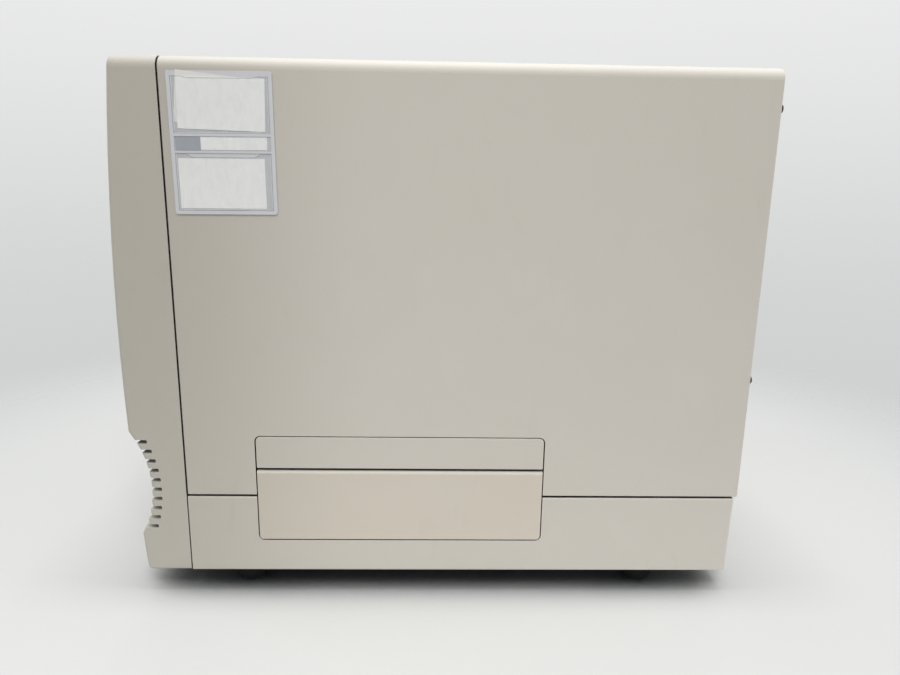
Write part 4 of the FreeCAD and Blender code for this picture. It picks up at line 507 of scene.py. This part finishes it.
def piece(name, vertices, faces, material, body="casing", smooth=True):
    """A mesh in the machine's frame that rides on a body."""
    mesh = bpy.data.meshes.new(name)
    mesh.from_pydata([tuple(v) for v in vertices], [], faces)
    mesh.materials.append(material)
    mesh.polygons.foreach_set("use_smooth", [smooth] * len(mesh.polygons))
    mesh.update()
    made = bpy.data.objects.new(name, mesh)
    bpy.context.scene.collection.objects.link(made)
    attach(made, body)
    return made


# Cards and clear films of the pocket, in mm along and up from its lower front corner

pocket_low, pocket_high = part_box("card_pocket")
POCKET_WIDTH, POCKET_HEIGHT = 100.2, 134.3
POCKET_TILT = math.radians(0.45)
POCKET_MIDDLE = (pocket_low + pocket_high) / 2
POCKET_FLOOR = pocket_low.x + 0.71 * MM
POCKET_SIDE = 3.5
CARD_WIDTH, CARD_HEIGHT = 84, 48
CARD_THICK = 0.19 * MM
FILM_X = pocket_high.x - 0.14 * MM
FILM_THICK = 0.08 * MM
FILM_SWELL = 0.04 * MM
BEAD_X = pocket_high.x - 0.10 * MM
THUMB_SHOULDER, THUMB_SLOPE = 12.0, 10.0

# The windows' films, each as (low, high, dip of the thumb cut), and their welds, each as (low, high)
LOWER_WINDOW = (3.5, 58.0, 3.4)
UPPER_WINDOW = (76.8, 129.4, 1.6)
STRIP_WINDOW = (60.3, 74.0, 0.0)
LOWER_WELD, UPPER_WELD = (4.6, 57.0), (77.6, 128.4)
WELD_INSET = 1.3

# Beads as (half their width, how far they rise)
CUT_EDGE = (0.35, 0.06)
WELD_BEAD = (0.40, 0.08)


def pocket_point(x, along, up):
    """A point of the pocket, which was stuck on a little askew."""
    u, v = (along - POCKET_WIDTH / 2) * MM, (up - POCKET_HEIGHT / 2) * MM
    cosine, sine = math.cos(POCKET_TILT), math.sin(POCKET_TILT)
    return (x, POCKET_MIDDLE.y + u * cosine - v * sine, POCKET_MIDDLE.z + u * sine + v * cosine)


def grid_faces(columns, rows, start=0):
    """Quads of a grid whose vertices run along each row from start."""
    across = columns + 1
    return [(c, c + 1, c + across + 1, c + across)
            for c in (start + row * across + column for row in range(rows) for column in range(columns))]


def slab(name, middle, size, tilt, layer, material, bow=0.0):
    """A thin card: middle and size are (along, up), tilt is in degrees, layer counts outwards."""
    columns, rows = 16, 10
    turn = math.radians(tilt)
    vertices = []
    for side in (0, 1):
        for row in range(rows + 1):
            for column in range(columns + 1):
                u, v = column / columns - 0.5, row / rows - 0.5
                lift = bow * MM * (1 - 4 * u * u)
                x = POCKET_FLOOR + (layer + side) * CARD_THICK + lift
                along = middle[0] + u * size[0] * math.cos(turn) - v * size[1] * math.sin(turn)
                up = middle[1] + u * size[0] * math.sin(turn) + v * size[1] * math.cos(turn)
                vertices.append(pocket_point(x, along, up))
    across = columns + 1
    far = across * (rows + 1)
    faces = [tuple(reversed(face)) for face in grid_faces(columns, rows)] + grid_faces(columns, rows, far)
    rim = list(range(across))
    rim += [row * across + columns for row in range(1, rows + 1)]
    rim += [rows * across + column for column in range(columns - 1, -1, -1)]
    rim += [row * across for row in range(rows - 1, 0, -1)]
    faces += [(here, there, far + there, far + here) for here, there in zip(rim, rim[1:] + rim[:1])]
    return piece(name, vertices, faces, material, smooth=False)


def make_cards():
    """Blank cards: one low, two stacked askew above, and a strip with a grey label part."""
    stock = paper("card_finish", CARD_WHITE)
    cream = paper("old_card_finish", srgb(222, 222, 216), fade=0.5)
    label = paper("label_finish", LABEL_GREY, fade=0.05)
    cards = [
        slab("card_lower", (47.6, 29.6), (CARD_WIDTH, CARD_HEIGHT), 0.0, 0, stock, bow=0.10),
        slab("card_upper_back", (48.2, 106.5), (CARD_WIDTH, CARD_HEIGHT), -6.6, 0, cream),
        slab("card_upper_front", (50.5, 104.4), (CARD_WIDTH, 48.8), -1.8, 1, stock, bow=0.12),
        slab("strip_card", (60.8, 67.7), (64, 12.2), 0.0, 0, stock),
        slab("strip_label", (16.4, 67.2), (24, 12.6), 0.0, 0, label),
    ]
    for card in cards:
        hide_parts("pocket_cards")


def film_top(along, height, dip):
    """Height of a film's top edge, with a shallow thumb cut between sloping shoulders."""
    part = min(1.0, max(0.0, (min(along, POCKET_WIDTH - along) - THUMB_SHOULDER) / THUMB_SLOPE))
    return height - dip * part * part * (3 - 2 * part)


def clear_film(name, low, high, dip, material):
    """A clear window film between two heights of the pocket, with a thumb cut in its top edge."""
    columns, rows = 48, 12
    inner = POCKET_WIDTH - 2 * POCKET_SIDE
    vertices = []
    for row in range(rows + 1):
        for column in range(columns + 1):
            share = column / columns
            along = POCKET_SIDE + inner * share
            up = low + (film_top(along, high, dip) - low) * row / rows
            swell = math.sin(math.pi * share) * math.sin(math.pi * row / rows)
            vertices.append(pocket_point(FILM_X + FILM_SWELL * swell, along, up))
    made = piece(name, vertices, grid_faces(columns, rows), material)
    thick = made.modifiers.new("thickness", "SOLIDIFY")
    thick.thickness = FILM_THICK
    thick.offset = 1.0
    return made


def ribbon(name, path, bead, material):
    """A low rounded bead along a path of (along, up) points in the pocket's plane."""
    half, rise = bead
    section = [(-1.0, 0.0), (-0.6, 0.75), (0.0, 1.0), (0.6, 0.75), (1.0, 0.0)]
    count = len(section)
    vertices = []
    for i, (along, up) in enumerate(path):
        before, after = path[max(i - 1, 0)], path[min(i + 1, len(path) - 1)]
        run, lift = after[0] - before[0], after[1] - before[1]
        length = math.hypot(run, lift)
        across = (-lift / length, run / length)
        for side, height in section:
            vertices.append(pocket_point(BEAD_X + rise * MM * height, along + half * side * across[0],
                                         up + half * side * across[1]))
    faces = [(i * count + k, i * count + k + 1, (i + 1) * count + k + 1, (i + 1) * count + k)
             for i in range(len(path) - 1) for k in range(count - 1)]
    faces = [tuple(reversed(face)) for face in faces]
    return piece(name, vertices, faces, material)


def film_edge(name, window, material):
    """The cut top edge of a window's film, which catches the light."""
    steps, drop = 60, 0.2
    high, dip = window[1:]
    inner = POCKET_WIDTH - 2 * POCKET_SIDE
    stops = [POCKET_SIDE + inner * i / steps for i in range(steps + 1)]
    return ribbon(name, [(along, film_top(along, high - drop, dip)) for along in stops], CUT_EDGE, material)


def weld(name, low, high, material):
    """Weld lines down both sides of a window and along its foot."""
    steps = 12
    left, right = POCKET_SIDE + WELD_INSET, POCKET_WIDTH - POCKET_SIDE - WELD_INSET
    path = [(left, high - (high - low) * i / steps) for i in range(steps)]
    path += [(left + (right - left) * i / steps, low) for i in range(steps)]
    path += [(right, low + (high - low) * i / steps) for i in range(steps + 1)]
    return ribbon(name, path, WELD_BEAD, material)


def make_pocket():
    """The cards, and the clear windows over them with their cut edges and weld beads."""
    make_cards()
    sheet = film("film_finish", srgb(220, 223, 224), 0.03, 0.07)
    lip = film("film_edge_finish", srgb(158, 162, 165), 0.40, 0.60)
    bead = vinyl("weld_finish", srgb(206, 208, 210))
    clear_film("film_lower", *LOWER_WINDOW, sheet)
    clear_film("film_upper", *UPPER_WINDOW, sheet)
    clear_film("film_strip", *STRIP_WINDOW, sheet)
    film_edge("film_lower_edge", LOWER_WINDOW, lip)
    film_edge("film_upper_edge", UPPER_WINDOW, lip)
    weld("weld_lower", *LOWER_WELD, bead)
    weld("weld_upper", *UPPER_WELD, bead)


# Small screws: heads as (radius, height), and their places in the frame

FOOT_HEAD = (6 * MM, 3.4 * MM)
FAN_HEAD = (4.2 * MM, 2.0 * MM)
FLANGE_HEAD = (3.6 * MM, 2.2 * MM)
NEST_HEAD = (2.8 * MM, 1.7 * MM)
FOOT_RADIUS, FOOT_HOLLOW = 18 * MM, 14 * MM
FAN_X = 125 * MM
EYELET_REACH = 74 * MM * math.sqrt(0.5)
PANEL_INSET, EYELET_TOP = 2 * MM, 1.8 * MM
FLANGE_PITCH, FLANGE_DROP = 110 * MM, 9 * MM
NEST_INSET_X, NEST_INSET_Y = 7 * MM, 9 * MM

# A head's outline as (share of its radius, share of its height), and the depths of its recess
HEAD_PROFILE = [(1.0, 0.0), (1.0, 0.35), (0.93, 0.62), (0.78, 0.84), (0.62, 0.95)]
RECESS_RIM, RECESS_FLOOR = 1.0, 0.42
RECESS_ARM, RECESS_HALF = 0.50, 0.13


def recess_reach(angle, arm, half):
    """Distance to the edge of a plus-shaped recess in a direction."""
    across, up = max(abs(math.cos(angle)), 1e-6), max(abs(math.sin(angle)), 1e-6)
    return max(min(arm / across, half / up), min(half / across, arm / up))


def screw(name, place, outward, head, material, body="casing"):
    """A domed screw head with a cross recess, sitting on a surface at place."""
    segments = 48
    radius, height = head
    angles = [2 * math.pi * i / segments for i in range(segments)]
    rings = [[(radius * share, height * rise)] * segments for share, rise in HEAD_PROFILE]
    recess = [radius * recess_reach(angle, RECESS_ARM, RECESS_HALF) for angle in angles]
    for rise in (RECESS_RIM, RECESS_FLOOR):
        rings.append([(reach, height * rise) for reach in recess])
    turn = Vector(outward).to_track_quat("Z", "Y").to_matrix()
    vertices = [Vector(place) + turn @ Vector((reach * math.cos(angle), reach * math.sin(angle), rise))
                for ring in rings for angle, (reach, rise) in zip(angles, ring)]
    faces = []
    for low in range(0, (len(rings) - 1) * segments, segments):
        for i in range(segments):
            following, high = (i + 1) % segments, low + segments
            faces.append((low + i, low + following, high + following, high + i))
    last = (len(rings) - 1) * segments
    faces.append(tuple(last + i for i in range(segments)))
    faces.append(tuple(reversed(range(segments))))
    made = piece(name, vertices, faces, material, body)
    made.data.set_sharp_from_angle(angle=math.radians(35))
    return made


def make_screws():
    """Small screws under the feet, round the fans, along the rear flange and on the plate nest."""
    zinc = brushed("zinc_screw_finish", srgb(186, 184, 176), 0.3, along=0)
    dark = cast("dark_screw_finish", srgb(48, 46, 44), 0.42, metallic=0.8)
    cover_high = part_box("top_cover")[1]
    low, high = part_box("feet")
    for i, x in enumerate((low.x + FOOT_RADIUS, high.x - FOOT_RADIUS)):
        for j, y in enumerate((low.y + FOOT_RADIUS, high.y - FOOT_RADIUS)):
            screw(f"foot_screw_{i}{j}", (x, y, FOOT_HOLLOW), (0, 0, -1), FOOT_HEAD, zinc)
    low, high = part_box("fan_guards")
    middle_z = (low.z + high.z) / 2
    eyelet_y = cover_high.y - PANEL_INSET + EYELET_TOP
    for i, x in enumerate((-FAN_X, FAN_X)):
        for j, (side, rise) in enumerate(((-1, -1), (1, -1), (1, 1), (-1, 1))):
            place = (x + side * EYELET_REACH, eyelet_y, middle_z + rise * EYELET_REACH)
            screw(f"fan_screw_{i}{j}", place, (0, 1, 0), FAN_HEAD, dark)
    for i in range(5):
        place = ((i - 2) * FLANGE_PITCH, cover_high.y, cover_high.z - FLANGE_DROP)
        screw(f"flange_screw_{i}", place, (0, 1, 0), FLANGE_HEAD, dark)
    low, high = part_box("plate_nest")
    for i, x in enumerate((low.x + NEST_INSET_X, high.x - NEST_INSET_X)):
        for j, y in enumerate((low.y + NEST_INSET_Y, high.y - NEST_INSET_Y)):
            screw(f"nest_screw_{i}{j}", (x, y, high.z), (0, 0, 1), NEST_HEAD, zinc, "drawer")


dress_nodes()
make_pocket()
make_screws()


# Camera, as the photograph was taken

EYE = Vector((0.95, -0.00899, 0.44241))
YAW, PITCH, ROLL = 0.02599, 0.21568, 0.01614
FOCAL_PIXELS, FRAME_PIXELS, SENSOR = 669.0, 900.0, 36.0


def make_camera():
    """A camera at the eye point, which looks along -X, turned by yaw, pitch and roll in radians."""
    forward = Vector((-math.cos(YAW) * math.cos(PITCH), math.sin(YAW) * math.cos(PITCH), -math.sin(PITCH)))
    level = forward.cross(Vector((0, 0, 1))).normalized()
    upright = level.cross(forward)
    right = math.cos(ROLL) * level + math.sin(ROLL) * upright
    up = math.cos(ROLL) * upright - math.sin(ROLL) * level
    data = bpy.data.cameras.new("photo_camera")
    data.sensor_width = SENSOR
    data.lens = SENSOR * FOCAL_PIXELS / FRAME_PIXELS
    camera = bpy.data.objects.new("photo_camera", data)
    camera.matrix_world = Matrix.Translation(EYE) @ Matrix((right, up, -forward)).transposed().to_4x4()
    bpy.context.scene.collection.objects.link(camera)
    bpy.context.scene.camera = camera


# Floor, backdrop and light

FLOOR_REACH = 2.6
FLOOR_FADE = (0.50, 1.25)
SHADOW_REACH = 60 * MM


def make_floor():
    """A pale round floor that fades into the backdrop, dark where something stands close above it."""
    rings, spokes = 24, 72
    vertices = [(0.0, 0.0, 0.0)]
    faces = []
    for ring in range(1, rings + 1):
        radius = FLOOR_REACH * ring / rings
        for spoke in range(spokes):
            angle = 2 * math.pi * spoke / spokes
            vertices.append((radius * math.cos(angle), radius * math.sin(angle), 0.0))
    for spoke in range(spokes):
        following = (spoke + 1) % spokes
        faces.append((0, 1 + spoke, 1 + following))
        for ring in range(rings - 1):
            inner, outer = 1 + ring * spokes, 1 + (ring + 1) * spokes
            faces.append((inner + spoke, outer + spoke, outer + following, inner + following))
    mesh = bpy.data.meshes.new("floor")
    mesh.from_pydata(vertices, [], faces)
    floor = bpy.data.objects.new("floor", mesh)
    bpy.context.scene.collection.objects.link(floor)
    finish = Finish("floor_finish", FLOOR_WHITE, 0.38, specular=0.35)
    finish.tint(finish.noise(0.4, 3), srgb(222, 223, 222), 0.10)
    finish.tint(finish.crevice(SHADOW_REACH, 0.36, 0.66), SHADOW_GREY, 0.96)
    finish.rub(finish.noise(0.05, 3), 0.10)
    finish.bump(finish.noise(1.5 * MM, 2), 0.02 * MM)
    distance = finish.node("ShaderNodeVectorMath", operation="LENGTH")
    finish.link(finish.place, distance.inputs[0])
    fade = finish.ramp(distance.outputs["Value"], *FLOOR_FADE)
    see_through = finish.node("ShaderNodeBsdfTransparent")
    mixed = finish.node("ShaderNodeMixShader")
    finish.link(fade, mixed.inputs[0])
    finish.link(finish.shader.outputs[0], mixed.inputs[1])
    finish.link(see_through.outputs[0], mixed.inputs[2])
    finish.link(mixed.outputs[0], finish.tree.nodes["Material Output"].inputs["Surface"])
    mesh.materials.append(finish.material)


# Strength of the light from the horizon and from high up. Heights in the sky are sines of the elevation
HORIZON_LIGHT, ZENITH_LIGHT = 0.09, 0.50
LIGHT_SPAN = (0.0, 0.7)
BACKDROP_LOW, BACKDROP_HIGH = srgb(208, 210, 210), srgb(236, 237, 236)
BACKDROP_SPAN = (-0.25, 0.35)


def make_world():
    """Soft light that weakens towards the horizon, with a pale wall to be seen in its place."""
    world = bpy.data.worlds.new("studio")
    bpy.context.scene.world = world
    world.use_nodes = True
    tree = world.node_tree
    link = tree.links.new
    direction = tree.nodes.new("ShaderNodeTexCoord")
    split = tree.nodes.new("ShaderNodeSeparateXYZ")
    link(direction.outputs["Generated"], split.inputs[0])
    height = split.outputs[2]

    light = tree.nodes["Background"]
    light.inputs["Color"].default_value = (1.0, 1.0, 1.0, 1.0)
    link(smooth_ramp(tree, height, *LIGHT_SPAN, HORIZON_LIGHT, ZENITH_LIGHT), light.inputs["Strength"])

    colour = tree.nodes.new("ShaderNodeMix")
    colour.data_type = "RGBA"
    colour.inputs["A"].default_value = BACKDROP_LOW
    colour.inputs["B"].default_value = BACKDROP_HIGH
    link(smooth_ramp(tree, height, *BACKDROP_SPAN), colour.inputs["Factor"])
    backdrop = tree.nodes.new("ShaderNodeBackground")
    link(colour.outputs["Result"], backdrop.inputs["Color"])

    path = tree.nodes.new("ShaderNodeLightPath")
    seen = path.outputs["Is Camera Ray"]
    for ray in ("Is Glossy Ray", "Is Transmission Ray"):
        either = tree.nodes.new("ShaderNodeMath")
        either.operation = "MAXIMUM"
        link(seen, either.inputs[0])
        link(path.outputs[ray], either.inputs[1])
        seen = either.outputs[0]
    mixed = tree.nodes.new("ShaderNodeMixShader")
    link(seen, mixed.inputs[0])
    link(light.outputs[0], mixed.inputs[1])
    link(backdrop.outputs[0], mixed.inputs[2])
    link(mixed.outputs[0], tree.nodes["World Output"].inputs["Surface"])


def softbox(name, place, target, size, watts):
    """A large lamp of (width, height) aimed at a point."""
    data = bpy.data.lights.new(name, "AREA")
    data.shape = "RECTANGLE"
    data.size, data.size_y = size
    data.energy = watts
    lamp = bpy.data.objects.new(name, data)
    aim = Vector(target) - Vector(place)
    lamp.matrix_world = Matrix.Translation(place) @ aim.to_track_quat("-Z", "Y").to_matrix().to_4x4()
    bpy.context.scene.collection.objects.link(lamp)


def make_lights():
    """Soft lamps above and round the machine, the main ones above and on its right."""
    softbox("overhead", (0.20, 0.05, 4.50), (0.20, 0.05, 0.0), (0.5, 1.6), 76.0)
    softbox("right_high", (1.90, 0.10, 2.30), (0.27, 0.05, 0.32), (1.0, 0.8), 29.0)
    softbox("right_fill", (2.50, 0.10, 0.42), (0.27, 0.05, 0.32), (0.5, 0.3), 12.0)
    softbox("front_fill", (-0.3, -2.30, 0.75), (0.0, -0.33, 0.34), (1.0, 0.8), 14.0)
    softbox("left_fill", (-2.6, -0.30, 0.70), (-0.27, 0.0, 0.34), (1.0, 0.6), 20.0)
    softbox("rear_fill", (0.2, 2.5, 0.70), (0.0, 0.33, 0.34), (1.0, 0.6), 18.0)


make_floor()
make_world()
make_lights()
make_camera()
bpy.context.scene.view_settings.view_transform = "Standard"
